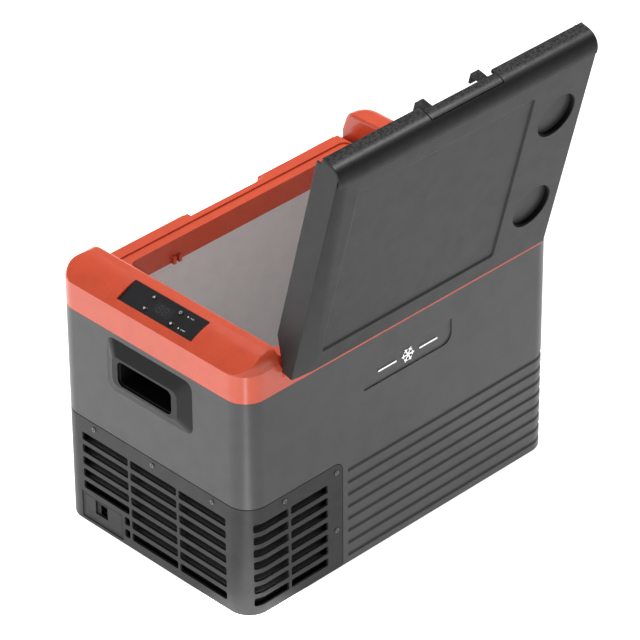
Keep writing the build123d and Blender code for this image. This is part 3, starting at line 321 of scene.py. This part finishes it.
GLOSSY = {"Specular_IOR_Level": 0.7}
SATIN = {"Specular_IOR_Level": 0.2}
DULL = {"Specular_IOR_Level": 0.25}
finishes = {
    "shell_plastic": moulded("etched_grey_abs", "#3E3E3F", "#383839", 0.36),
    "grille_plastic": moulded("etched_grey_abs_grille", "#363637", "#303031", 0.4, **SATIN),
    "lid_plastic": moulded("etched_grey_abs_lid", "#303031", "#2B2B2C", 0.38, **SATIN),
    # The handle bezels are the casing's grey plastic; this darker copy is painted shade for their dark slopes.
    "handle_plastic": moulded("shaded_copy_of_grey_abs", "#1A1A1B", "#161617", 0.32, **DULL),
    "pocket_plastic": moulded("matt_black_abs", "#080808", "#050505", 0.6, grain=2.0, **DULL),
    "socket_plastic": moulded("black_nylon", "#0A0A0A", "#060606", 0.5, **DULL),
    "frame_plastic": moulded(
        "satin_orange_abs", "#CC4E30", "#C4492D", 0.24, grain=3.0, pit=0.03, **GLOSSY
    ),
    "liner_plastic": moulded("smooth_polypropylene", "#D8D8D7", "#D2D2D1", 0.4, pit=0.04),
    "fan_plastic": moulded("glass_filled_black_nylon", "#0E0E0E", "#090909", 0.55, **DULL),
}
print("moulded finishes:", len(finishes))

# %% [markdown]
# ## Black trim, rubber and the control panel
# The lid's bullnose is black ABS whose top edge was left with a coarse, sandy grain, while its
# face is smoother. One material can do both: pale specks are mixed in by height, so they show only
# along the top edge. The seals and feet are moulded rubber, duller and with a bloom of paler dust.
# The panel is a polished black film, so it is mostly highlight, with a breath of haze.

# %% Trim, rubber and panel finishes
finishes["black_trim"] = moulded(
    "sandy_black_abs", "#151515", "#050505", 0.42, grain=2.2, pit=0.3, **DULL
)
tree = finishes["black_trim"].node_tree
shader = tree.nodes["Principled BSDF"]
plain_tone = shader.inputs["Base Color"].links[0].from_node
coordinates = add_node(tree, "ShaderNodeTexCoord")
place = add_node(tree, "ShaderNodeSeparateXYZ", [("Vector", coordinates, "Object")])
SAND_FROM, SAND_FULL = 0.0075, 0.003
trim_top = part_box("lid_front_trim")[1][2]
rim = add_node(
    tree,
    "ShaderNodeMapRange",
    [("Value", place, "Z")],
    From_Min=trim_top - SAND_FROM,
    From_Max=trim_top - SAND_FULL,
)
sand = add_node(
    tree,
    "ShaderNodeTexNoise",
    [("Vector", coordinates, "Object")],
    Scale=per_metre(3.5),
    Detail=4,
)
specks = add_node(
    tree, "ShaderNodeMapRange", [("Value", sand, "Fac")], From_Min=0.4, From_Max=0.62
)
sanded = add_node(
    tree,
    "ShaderNodeMath",
    [(0, rim, "Result"), (1, specks, "Result")],
    operation="MULTIPLY",
)
COLOUR_A, COLOUR_B, COLOUR_OUT = 6, 7, 2
tone = add_node(
    tree,
    "ShaderNodeMix",
    [(0, sanded, "Value"), (COLOUR_A, plain_tone, "Color")],
    data_type="RGBA",
)
tone.inputs[COLOUR_B].default_value = paint("#3C3C3C")
tree.links.new(tone.outputs[COLOUR_OUT], shader.inputs["Base Color"])
finishes["seal_rubber"] = moulded("black_seal_rubber", "#232322", "#1A1A1A", 0.72, grain=2.5)
finishes["foot_rubber"] = moulded("moulded_foot_rubber", "#1C1C1B", "#141414", 0.8, grain=2.0)
finishes["button_rubber"] = moulded("silicone_key_rubber", "#101011", "#0C0C0D", 0.3)
finishes["panel_plastic"] = moulded(
    "polished_black_film", "#1E1E1F", "#19191A", 0.2, grain=6.0, pit=0.01, **GLOSSY
)
finishes["display_smoke"] = moulded(
    "smoked_display_window", "#2A2A2B", "#252526", 0.14, grain=8.0, pit=0.01
)


def printed(name, code, roughness):
    """White screen-printed ink or a milky lens: a near-flat colour with faint print mottle."""
    return moulded(name, code, code, roughness, grain=1.0, pit=0.02, patch=10)


finishes["led_lens"] = printed("milky_led_lens", "#E4E2DA", 0.35)
finishes["light_lens"] = printed("frosted_lamp_lens", "#EDEDEA", 0.45)
white_ink = printed("white_screen_ink", "#BDBDBB", 0.5)
grey_segments = printed("unlit_display_segments", "#3A3A3A", 0.3)
print("finishes so far:", len(finishes))

# %% [markdown]
# ## Metal
# Ground pins show fine lines along the way the tool went. Lines are noise stretched up to
# fiftyfold along one axis. Drawn copper and the aluminium coil share the recipe and differ in
# colour and gloss, and the black fins, pan and compressor are coated over. Chrome is bright, and
# broken only by a very faint ripple.


# %% Metal finishes
def drawn_metal(name, code, roughness, stretch=(0.02, 1.0, 1.0), line=0.4, depth=0.02):
    """Metal with lines of that spacing in mm, long where the stretch is small."""
    finish, tree, shader, coordinates = start_finish(name, code, roughness, Metallic=1.0)
    lengthened = add_node(
        tree, "ShaderNodeMapping", [("Vector", coordinates, "Object")], Scale=stretch
    )
    lines = add_node(
        tree,
        "ShaderNodeTexNoise",
        [("Vector", lengthened, "Vector")],
        Scale=per_metre(line),
        Detail=2,
    )
    gloss = add_node(
        tree,
        "ShaderNodeMapRange",
        [("Value", lines, "Fac")],
        To_Min=roughness - 0.08,
        To_Max=roughness + 0.12,
    )
    relief = add_node(
        tree, "ShaderNodeBump", [("Height", lines, "Fac")], Strength=0.4, Distance=depth * MM
    )
    tree.links.new(gloss.outputs["Result"], shader.inputs["Roughness"])
    tree.links.new(relief.outputs["Normal"], shader.inputs["Normal"])
    return finish


finishes["screw_steel"] = drawn_metal("dark_zinc_plated_steel", "#6E7072", 0.4, (1, 1, 1), 0.9)
finishes["pin_steel"] = drawn_metal("ground_steel", "#A9ABAD", 0.28)
finishes["badge_chrome"] = drawn_metal("bright_chrome", "#F4F4F2", 0.16, (1, 1, 1), 6.0, 0.005)
finishes["copper_tube"] = drawn_metal("drawn_copper", "#C4764F", 0.36, (1, 1, 0.05), 0.8)
finishes["coil_aluminium"] = drawn_metal("mill_aluminium", "#C6C8CA", 0.4, (0.05, 0.05, 1), 0.8)


def powder_coat(name, code, roughness, orange_peel=2.5, depth=0.05, **shader_values):
    """Baked powder or enamel on metal: a smooth coat with orange peel of that size in mm."""
    finish, tree, shader, coordinates = start_finish(name, code, roughness, **shader_values)
    peel = add_node(
        tree,
        "ShaderNodeTexVoronoi",
        [("Vector", coordinates, "Object")],
        feature="SMOOTH_F1",
        Scale=per_metre(orange_peel),
    )
    dust = add_node(
        tree, "ShaderNodeTexNoise", [("Vector", coordinates, "Object")], Scale=per_metre(30)
    )
    tone = add_node(tree, "ShaderNodeValToRGB", [("Fac", dust, "Fac")])
    tone.color_ramp.elements[0].color = paint(code)
    tone.color_ramp.elements[1].color = [c * 1.25 for c in paint(code)[:3]] + [1]
    relief = add_node(
        tree, "ShaderNodeBump", [("Height", peel, "Distance")], Strength=0.5, Distance=depth * MM
    )
    tree.links.new(tone.outputs["Color"], shader.inputs["Base Color"])
    tree.links.new(relief.outputs["Normal"], shader.inputs["Normal"])
    return finish


finishes["pan_steel"] = powder_coat("black_powder_coat", "#1D1D1D", 0.5)
finishes["compressor_paint"] = powder_coat("black_enamel", "#090909", 0.22, 5.0, Coat_Weight=0.4)
finishes["fin_aluminium"] = powder_coat("black_coated_fins", "#101011", 0.5)
print("finishes so far:", len(finishes))

# %% [markdown]
# ## Foam and circuit board
# Poured polyurethane foam is a mass of cells about 0.5 mm across with a straw colour, drawn here
# at 3 mm. Its walls catch light, which a cell pattern in the bump gives. The board is green
# laminate with copper tracks under the mask: a brick pattern makes plausible straight tracks.

# %% Foam and board finishes
finish, tree, shader, coordinates = start_finish("poured_foam", "#DCC795", 0.9)
cells = add_node(
    tree, "ShaderNodeTexVoronoi", [("Vector", coordinates, "Object")], Scale=per_metre(3)
)
cell_tone = add_node(tree, "ShaderNodeValToRGB", [("Fac", cells, "Distance")])
cell_tone.color_ramp.elements[0].color = paint("#C9B078")
cell_tone.color_ramp.elements[1].color = paint("#E5D4A8")
cell_relief = add_node(
    tree, "ShaderNodeBump", [("Height", cells, "Distance")], Strength=0.6, Distance=0.4 * MM
)
tree.links.new(cell_tone.outputs["Color"], shader.inputs["Base Color"])
tree.links.new(cell_relief.outputs["Normal"], shader.inputs["Normal"])
finishes["foam"] = finish

finish, tree, shader, coordinates = start_finish("green_laminate", "#1F4A2C", 0.35)
tracks = add_node(
    tree,
    "ShaderNodeTexBrick",
    [("Vector", coordinates, "Object")],
    Scale=per_metre(9),
    Color1=paint("#1F4A2C"),
    Color2=paint("#24552F"),
    Mortar=paint("#3B7A45"),
    Mortar_Size=0.06,
)
tree.links.new(tracks.outputs["Color"], shader.inputs["Base Color"])
finishes["board_laminate"] = finish

missing = sorted({m["slot"] for m in record["materials"]} - set(finishes))
print("slots with no finish:", missing)

for name, node in nodes.items():
    for material_slot in node.material_slots:
        material_slot.material = finishes[slot_of[name]]

# %% [markdown]
# ## Rounded edges
# No moulding has a knife edge: every corner has a radius of about half a millimetre to two, and
# that is what catches the light as a thin bright line. The engineering surfaces are sharp, so a
# copy of each is made, its doubled points are merged and its flat faces joined up, and a Bevel
# modifier rounds what is sharper than a set angle. Hardened normals keep the flats flat.


# %% Rounded copies of the engineering nodes
def finish_mesh(mesh, name, finish, body, crease=40):
    """Makes a mesh an object with a finish, smooth up to a crease, riding on a body."""
    mesh.materials.append(finish)
    mesh.polygons.foreach_set("use_smooth", np.ones(len(mesh.polygons), bool))
    mesh.set_sharp_from_angle(angle=math.radians(crease))
    piece = bpy.data.objects.new(name, mesh)
    bpy.context.scene.collection.objects.link(piece)
    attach(piece, body)
    return piece


def rounded(name, radius, sharper_than=32, segments=2, crease=40):
    """A copy of a node whose edges sharper than an angle are rounded to a radius in mm."""
    source = nodes[name].data
    source.calc_loop_triangles()
    points = np.empty(len(source.vertices) * 3)
    source.vertices.foreach_get("co", points)
    corners = np.empty(len(source.loop_triangles) * 3, int)
    source.loop_triangles.foreach_get("vertices", corners)
    mesh = bpy.data.meshes.new(name + "_moulding")
    mesh.from_pydata(points.reshape(-1, 3), [], corners.reshape(-1, 3).tolist())
    work = bmesh.new()
    work.from_mesh(mesh)
    bmesh.ops.remove_doubles(work, verts=work.verts, dist=0.002 * MM)
    bmesh.ops.dissolve_limit(
        work, angle_limit=math.radians(0.7), verts=work.verts, edges=work.edges
    )
    work.to_mesh(mesh)
    work.free()
    piece = finish_mesh(
        mesh, name + "_moulding", finishes[slot_of[name]], body_of[name], crease
    )
    edge = piece.modifiers.new("edge_radius", "BEVEL")
    edge.width = radius * MM
    edge.segments = segments
    edge.limit_method = "ANGLE"
    edge.angle_limit = math.radians(sharper_than)
    edge.use_clamp_overlap = False
    edge.harden_normals = True
    edge.miter_outer = "MITER_ARC"
    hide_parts(name)
    return piece


edge_radii = {
    "outer_shell": 0.6,
    "grille_cover": 0.5,
    "lid_shell": 0.8,
    "lid_front_trim": 0.5,
    "latch_paddle": 0.5,
    "handle_cup_left": 0.6,
    "handle_cup_right": 0.6,
    "inner_liner": 0.8,
    "lid_liner": 0.8,
    "inlet_plate": 0.3,
    "dc_socket": 0.3,
    "control_plate": 0.3,
    "badge_emblem": 0.25,
    "fan_shroud": 0.6,
}
for name, radius in edge_radii.items():
    piece = rounded(name, radius)
    print(piece.name, len(piece.data.polygons), "faces before rounding")

# %% [markdown]
# ## Two slanted worktops
# The lid stands open and the control panel slopes, so shapes for them are easier to work out flat.
# Each has its own axes: X, then away from the hinge or up the slope, then out of the surface. A
# place on them becomes a place in the room by adding up the axes, for whole arrays at once.


# %% Places on the lid and on the panel
def on_axes(origin, axes, points):
    """Room places in metres of points in mm: the origin plus each coordinate times its axis."""
    return np.asarray(origin) + np.asarray(points) * MM @ np.asarray(axes)


hinge = next(j for j in frame["joints"] if j["name"] == "lid_hinge")
open_angle = math.radians(-hinge["range_deg"][0])
lid_origin = (0, *hinge["pos_m"][1:])
lid_axes = np.array(
    [
        (1, 0, 0),
        (0, math.cos(open_angle), math.sin(open_angle)),
        (0, -math.sin(open_angle), math.cos(open_angle)),
    ]
)
press = next(j for j in frame["joints"] if j["name"] == "up_press")
panel_out = -np.array(press["axis"])
panel_across = np.array((0, -1, 0))
panel_axes = np.array([panel_across, np.cross(panel_out, panel_across), panel_out])
plate_low, plate_high = (np.array(corner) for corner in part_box("control_plate"))
PLATE_THICKNESS, INK = 2.0, 0.1
panel_origin = (plate_low + plate_high) / 2 + panel_out * PLATE_THICKNESS / 2 * MM


def local_box(name, origin, axes):
    """Lowest and highest corner of a node in mm on slanted axes."""
    mesh = nodes[name].data
    points = np.empty(len(mesh.vertices) * 3)
    mesh.vertices.foreach_get("co", points)
    local = (points.reshape(-1, 3) - np.asarray(origin)) @ np.asarray(axes).T / MM
    return local.min(0), local.max(0)


gasket_low, gasket_high = local_box("lid_gasket", lid_origin, lid_axes)
print("gasket on the lid's axes", gasket_low.round(2), gasket_high.round(2))

# %% [markdown]
# ## Carrying a profile along a path
# A seal, a spring and a printed ring are all one cross-section carried along a line. At each point
# of the path two directions at right angles to it hold the profile, and the grid of all the points
# is the surface. A curve object with a bevel could do it, but a grid keeps each corner where the
# profile has it, and it is one array sum.


# %% Grid, sweep and rounded path
def grid_surface(name, points, close_rows=False, close_columns=True):
    """A mesh of rows by columns of points. Each cell between four neighbours is one face.

    A closed direction joins its last line of points to its first. Open rows get an end face each.
    """
    rows, columns = points.shape[:2]
    index = np.arange(rows * columns).reshape(rows, columns)
    if close_rows:
        index = np.vstack([index, index[:1]])
    if close_columns:
        index = np.hstack([index, index[:, :1]])
    corners = (index[:-1, :-1], index[:-1, 1:], index[1:, 1:], index[1:, :-1])
    faces = np.stack(corners, axis=-1).reshape(-1, 4).tolist()
    if close_columns and not close_rows:
        faces += [index[0, :-1][::-1].tolist(), index[-1, :-1].tolist()]
    mesh = bpy.data.meshes.new(name)
    mesh.from_pydata(points.reshape(-1, 3), [], faces)
    work = bmesh.new()
    work.from_mesh(mesh)
    bmesh.ops.remove_doubles(work, verts=work.verts, dist=0.001 * MM)
    bmesh.ops.recalc_face_normals(work, faces=work.faces)
    work.to_mesh(mesh)
    work.free()
    return mesh


def carried(path, side, lift, profile):
    """Grid of points: each path point plus a profile's two coordinates times side and lift."""
    profile = np.asarray(profile)
    return (
        path[:, None]
        + profile[None, :, :1] * side[:, None]
        + profile[None, :, 1:] * lift[:, None]
    )


def rounded_path(half_x, half_y, radius, steps=10):
    """Points and outward directions round a rectangle with round corners.

    Each corner is a quarter turn: its centre plus the radius times (cosine, sine) of the angle.
    """
    turns = np.radians(np.arange(4)[:, None] * 90 + np.linspace(0, 90, steps)).ravel()
    signs = np.repeat([(1, 1), (-1, 1), (-1, -1), (1, -1)], steps, axis=0)
    outward = np.stack([np.cos(turns), np.sin(turns), np.zeros_like(turns)], axis=1)
    centres = signs * (half_x - radius, half_y - radius)
    return np.pad(centres, ((0, 0), (0, 1))) + radius * outward, outward


def constant(vector, count):
    """The same direction for each of count path points."""
    return np.tile(np.asarray(vector, float), (count, 1))


# %% [markdown]
# ## Lid seal
# The real seal is a soft magnetic gasket: a flat foot held by the lid, two folds that give, and a
# boxy bulb that closes on the rim. A plain ring would read as a strip of tape, so the folded
# section is drawn as a profile and carried round the lid.

# %% Lid seal
SEAL_HALF_WIDTH = 4.0
seal_middle = (gasket_low + gasket_high) / 2
seal_half = (gasket_high - gasket_low) / 2 - SEAL_HALF_WIDTH
SEAL_CORNER = 16.0
path, outward = rounded_path(seal_half[0], seal_half[1], SEAL_CORNER)
path[:, :2] += seal_middle[:2]
seal_top, seal_bottom = gasket_high[2], gasket_low[2]
seal_depth = seal_top - seal_bottom
seal_profile = [
    (across, seal_top - share * seal_depth)
    for across, share in (
        (-4.0, 0.0),
        (-3.7, 0.12),
        (-2.4, 0.28),
        (-3.9, 0.52),
        (-4.0, 0.84),
        (-3.2, 1.0),
        (3.2, 1.0),
        (4.0, 0.84),
        (3.9, 0.52),
        (2.4, 0.28),
        (3.7, 0.12),
        (4.0, 0.0),
    )
]
points = carried(path, outward, constant((0, 0, 1), len(path)), seal_profile)
seal = finish_mesh(
    grid_surface("lid_seal", on_axes(lid_origin, lid_axes, points), close_rows=True),
    "lid_seal",
    finishes["seal_rubber"],
    "lid",
)
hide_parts("lid_gasket")
print("lid seal", len(seal.data.polygons), "faces")

# %% [markdown]
# ## Cup recesses
# Each round recess in the lid gets a black crescent on its visible wall: painted shade, standing in for the shadow
# in the recess. The crescent stands highest in its middle and runs out to nothing at both ends, like a new moon,
# so its height is the recess's depth times the root of a half sine.

# %% Crescents of painted shade
lid_high = local_box("lid_shell", lid_origin, lid_axes)[1]
CUP_RADIUS, CUP_DEPTH, CUP_FROM_END, CUP_OFFSET = 35.0, 8.0, 52.0, 84.0
CUP_MIDDLE = 171.0
SHADE_CRESCENT_WALL = 0.7
cup_x = lid_high[0] - CUP_FROM_END
turns = np.radians(np.linspace(-140, 58, 60))
ring = np.stack([np.cos(turns), np.sin(turns), np.zeros_like(turns)], axis=1)
shade_crescent_height = (CUP_DEPTH - 0.4) * np.sqrt(np.sin(np.linspace(0.02, np.pi - 0.02, 60)))
for label, ly in (("upper", CUP_MIDDLE + CUP_OFFSET), ("lower", CUP_MIDDLE - CUP_OFFSET)):
    floor_level = lid_high[2] - CUP_DEPTH
    base = np.array((cup_x, ly, floor_level)) + (CUP_RADIUS - 0.05) * ring
    section = np.stack(
        [
            base,
            base - SHADE_CRESCENT_WALL * ring,
            base - SHADE_CRESCENT_WALL * ring + shade_crescent_height[:, None] * (0, 0, 0.94),
            base - 0.3 * SHADE_CRESCENT_WALL * ring + shade_crescent_height[:, None] * (0, 0, 1),
            base + shade_crescent_height[:, None] * (0, 0, 1),
        ],
        axis=1,
    )
    # Each crescent is a black sheet of painted shade laid on the recess wall.
    shade_crescent = finish_mesh(
        grid_surface("cup_painted_shade_" + label, on_axes(lid_origin, lid_axes, section)),
        "cup_painted_shade_" + label,
        finishes["black_trim"],
        "lid",
    )
    print(shade_crescent.name, "height", shade_crescent_height.max().round(1), "mm")

# %% [markdown]
# ## Print on the control panel
# Keys and lamps are marked in white ink: two arrowheads, a ring and a dot, and a short dash by
# each lamp where a word would be. Behind the window, two unlit digits show as paler bars. Ink is
# 0.1 mm thick, so each mark is a flat outline raised by that much.


# %% Marks in white ink
def mark(name, outline, level, ink, body):
    """A flat convex outline, in mm on the panel's axes, raised by the ink's thickness."""
    outline = np.asarray(outline, float)
    layers = [np.pad(outline, ((0, 0), (0, 1)), constant_values=level + rise) for rise in (0, INK)]
    points = on_axes(panel_origin, panel_axes, np.stack(layers))
    return finish_mesh(grid_surface(name, points), name, ink, body)


def bar(centre, length, width, slant=0.0):
    """Corners of an upright or lying bar, leaned over by a slant."""
    u, v = centre
    return [
        (u - length / 2 - slant, v - width / 2),
        (u + length / 2 - slant, v - width / 2),
        (u + length / 2 + slant, v + width / 2),
        (u - length / 2 + slant, v + width / 2),
    ]


KEY_TOP = 0.9
key_spots = {
    "up": (-27.5, 10.4),
    "down": (-27.5, -10.8),
    "power": (24.7, 9.9),
    "settings": (24.7, -10.6),
}
for key, pointing in (("up", 1), ("down", -1)):
    u, v = key_spots[key]
    arrow = [(u - 2.4, v - 1.6 * pointing), (u + 2.4, v - 1.6 * pointing), (u, v + 2.4 * pointing)]
    mark("arrow_" + key, arrow, KEY_TOP, white_ink, "key_" + key)
around = np.radians(np.arange(0, 360, 12))
circle = np.stack([np.cos(around), np.sin(around)], axis=1)
dot = circle * 1.9 + key_spots["settings"]
mark("dot_settings", dot, KEY_TOP, white_ink, "key_settings")
centre = np.pad(np.tile(key_spots["power"], (len(circle), 1)), ((0, 0), (0, 1)))
outward = np.pad(circle, ((0, 0), (0, 1)))
ring_points = carried(
    centre,
    outward,
    constant((0, 0, 1), len(circle)),
    [(1.5, KEY_TOP), (2.3, KEY_TOP), (2.3, KEY_TOP + INK), (1.5, KEY_TOP + INK)],
)
finish_mesh(
    grid_surface("ring_power", on_axes(panel_origin, panel_axes, ring_points), close_rows=True),
    "ring_power",
    white_ink,
    "key_power",
)
LABEL_HIGH, LABEL_LOW = 10.0, -10.8
dashes = (
    (44.4, 2.2, LABEL_HIGH),
    (47.6, 2.6, LABEL_HIGH),
    (44.4, 1.4, LABEL_LOW),
    (46.9, 3.2, LABEL_LOW),
    (50.6, 1.2, LABEL_LOW),
)
for number, (start, length, v) in enumerate(dashes):
    dash = bar((start + length / 2, v), length, 1.2)
    mark(f"dash_{number}", dash, 0.0, white_ink, "body")
SLANT, WINDOW_MIDDLE = 0.08, -0.5
ACROSS, UPRIGHT = (4.6, 1.2), (1.2, 4.0)
segments = [(0, dv, ACROSS) for dv in (5.4, 0, -5.4)]
segments += [(du, dv, UPRIGHT) for dv in (2.7, -2.7) for du in (-3.1, 3.1)]
for digit, middle in enumerate((-6.6, 4.6)):
    for place, (du, dv, (length, width)) in enumerate(segments):
        spot = (middle + du + dv * SLANT, WINDOW_MIDDLE + dv)
        segment = bar(spot, length, width, SLANT * width / 2)
        mark(f"digit_{digit}_bar_{place}", segment, 0.0, grey_segments, "body")

# %% [markdown]
# ## Dust screen and painted shade
# Behind the slots a black dust screen keeps fluff off the condenser. It is also painted shade: a black sheet that
# stands in for the dark bay behind the slots, so that they read black. It follows the inside of the cover round
# both
# corners: a path with round corners, carried up from the pan to under the cover's screws, and given its thickness
# by
# Solidify. A window in it leaves the power socket free.

# %% Dust screen and painted shade
SCREEN_INSET, SCREEN_CORNER, SCREEN_LOW, SCREEN_HIGH = 9.5, 25.0, 9.0, 163.0
SCREEN_SHORT_OF_COVER, SCREEN_WALL = 22, 0.8
WINDOW_HIGH, WINDOW_MARGIN = 56, 14
cover_low, cover_high = (np.array(corner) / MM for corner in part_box("grille_cover"))
socket_low, socket_high = (np.array(corner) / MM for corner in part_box("dc_socket"))
steps = 12
turns = np.radians(np.linspace(90, 180, steps))
half_y = cover_high[1] - SCREEN_INSET
corner_x = cover_low[0] + SCREEN_INSET + SCREEN_CORNER
arc = np.stack(
    [
        corner_x + SCREEN_CORNER * np.cos(turns),
        half_y - SCREEN_CORNER + SCREEN_CORNER * np.sin(turns),
    ],
    axis=1,
)
straight = np.linspace(cover_high[0] - SCREEN_SHORT_OF_COVER, corner_x, 12)[:-1]
far_side = np.stack([straight, np.full_like(straight, half_y)], axis=1)
end_run = np.linspace(arc[-1, 1], 0, 14)[1:]
end_half = np.stack([np.full_like(end_run, arc[-1, 0]), end_run], axis=1)
half_path = np.vstack([far_side, arc, end_half])
screen_path = np.vstack([half_path, half_path[-2::-1] * (1, -1)])
levels = np.array([SCREEN_LOW, 30, WINDOW_HIGH, 80, 110, 140, SCREEN_HIGH])
screen_points = np.concatenate(
    [
        np.repeat(screen_path[None], len(levels), axis=0),
        np.repeat(levels[:, None, None], len(screen_path), axis=1),
    ],
    axis=2,
)
screen_mesh = grid_surface("dust_screen_and_shade", screen_points * MM, close_columns=False)
work = bmesh.new()
work.from_mesh(screen_mesh)
window = [
    f
    for f in work.faces
    if f.calc_center_median().x < (socket_high[0] + 1) * MM
    and f.calc_center_median().y > (socket_low[1] - WINDOW_MARGIN) * MM
    and f.calc_center_median().y < (socket_high[1] + WINDOW_MARGIN) * MM
    and f.calc_center_median().z < WINDOW_HIGH * MM
]
bmesh.ops.delete(work, geom=window, context="FACES")
work.to_mesh(screen_mesh)
work.free()
# The screen is partly painted shade: it is black so that the slots read black.
screen = finish_mesh(
    screen_mesh, "dust_screen_and_shade", finishes["pocket_plastic"], "body"
)
thickness = screen.modifiers.new("screen_thickness", "SOLIDIFY")
thickness.thickness = SCREEN_WALL * MM
thickness.offset = 0
print("dust screen", len(screen_mesh.polygons), "faces, window of", len(window))

# %% [markdown]
# ## Latch spring and feet
# The spring is wire wound round the latch pin: a small circle carried along a helix, whose place
# is the radius times (cosine, sine) of the angle and the pitch times the turns. The feet are
# turned shapes: a profile swept round a full circle, with a dished face that grips the floor.

# %% Spring and feet
spring_low, spring_high = local_box("latch_spring", lid_origin, lid_axes)
WIRE, COIL_TURNS = 0.5, 5.5
axis_y, axis_z = (spring_low[1:] + spring_high[1:]) / 2
coil_radius = (spring_high[2] - spring_low[2]) / 2 - WIRE
angle = np.linspace(0, COIL_TURNS * 2 * np.pi, 140)
radial = np.stack([np.zeros_like(angle), np.cos(angle), np.sin(angle)], axis=1)
run = np.linspace(spring_low[0] + WIRE, spring_high[0] - WIRE, len(angle))
helix = radial * coil_radius + np.stack(
    [run, np.full_like(run, axis_y), np.full_like(run, axis_z)], axis=1
)
wire_round = np.radians(np.arange(0, 360, 45))
wire = WIRE * np.stack([np.cos(wire_round), np.sin(wire_round)], axis=1)
points = carried(helix, radial, constant((1, 0, 0), len(helix)), wire)
spring = finish_mesh(
    grid_surface("latch_spring_coil", on_axes(lid_origin, lid_axes, points)),
    "latch_spring_coil",
    finishes["pin_steel"],
    "lid",
    crease=60,
)
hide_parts("latch_spring")

feet_low, feet_high = (np.array(corner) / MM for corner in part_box("rubber_feet"))
FOOT_RADIUS = 16.0
foot_profile = [(0, 0.5), (8, 0.4), (11, 0), (15, 0), (15.8, 0.7), (16, 2.0), (16, 3.0), (0, 3.0)]
around = np.radians(np.arange(0, 360, 10))
spokes = np.stack([np.cos(around), np.sin(around), np.zeros_like(around)], axis=1)
for x_side, x in (("near", feet_low[0] + FOOT_RADIUS), ("far", feet_high[0] - FOOT_RADIUS)):
    for y_side, y in (("hinge", feet_low[1] + FOOT_RADIUS), ("latch", feet_high[1] - FOOT_RADIUS)):
        middle = constant((x, y, 0), len(around))
        points = carried(middle, spokes, constant((0, 0, 1), len(around)), foot_profile)
        foot = finish_mesh(
            grid_surface(f"foot_{x_side}_{y_side}", points * MM, close_rows=True),
            f"foot_{x_side}_{y_side}",
            finishes["foot_rubber"],
            "body",
        )
        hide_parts("rubber_feet")
print("spring and four feet made")
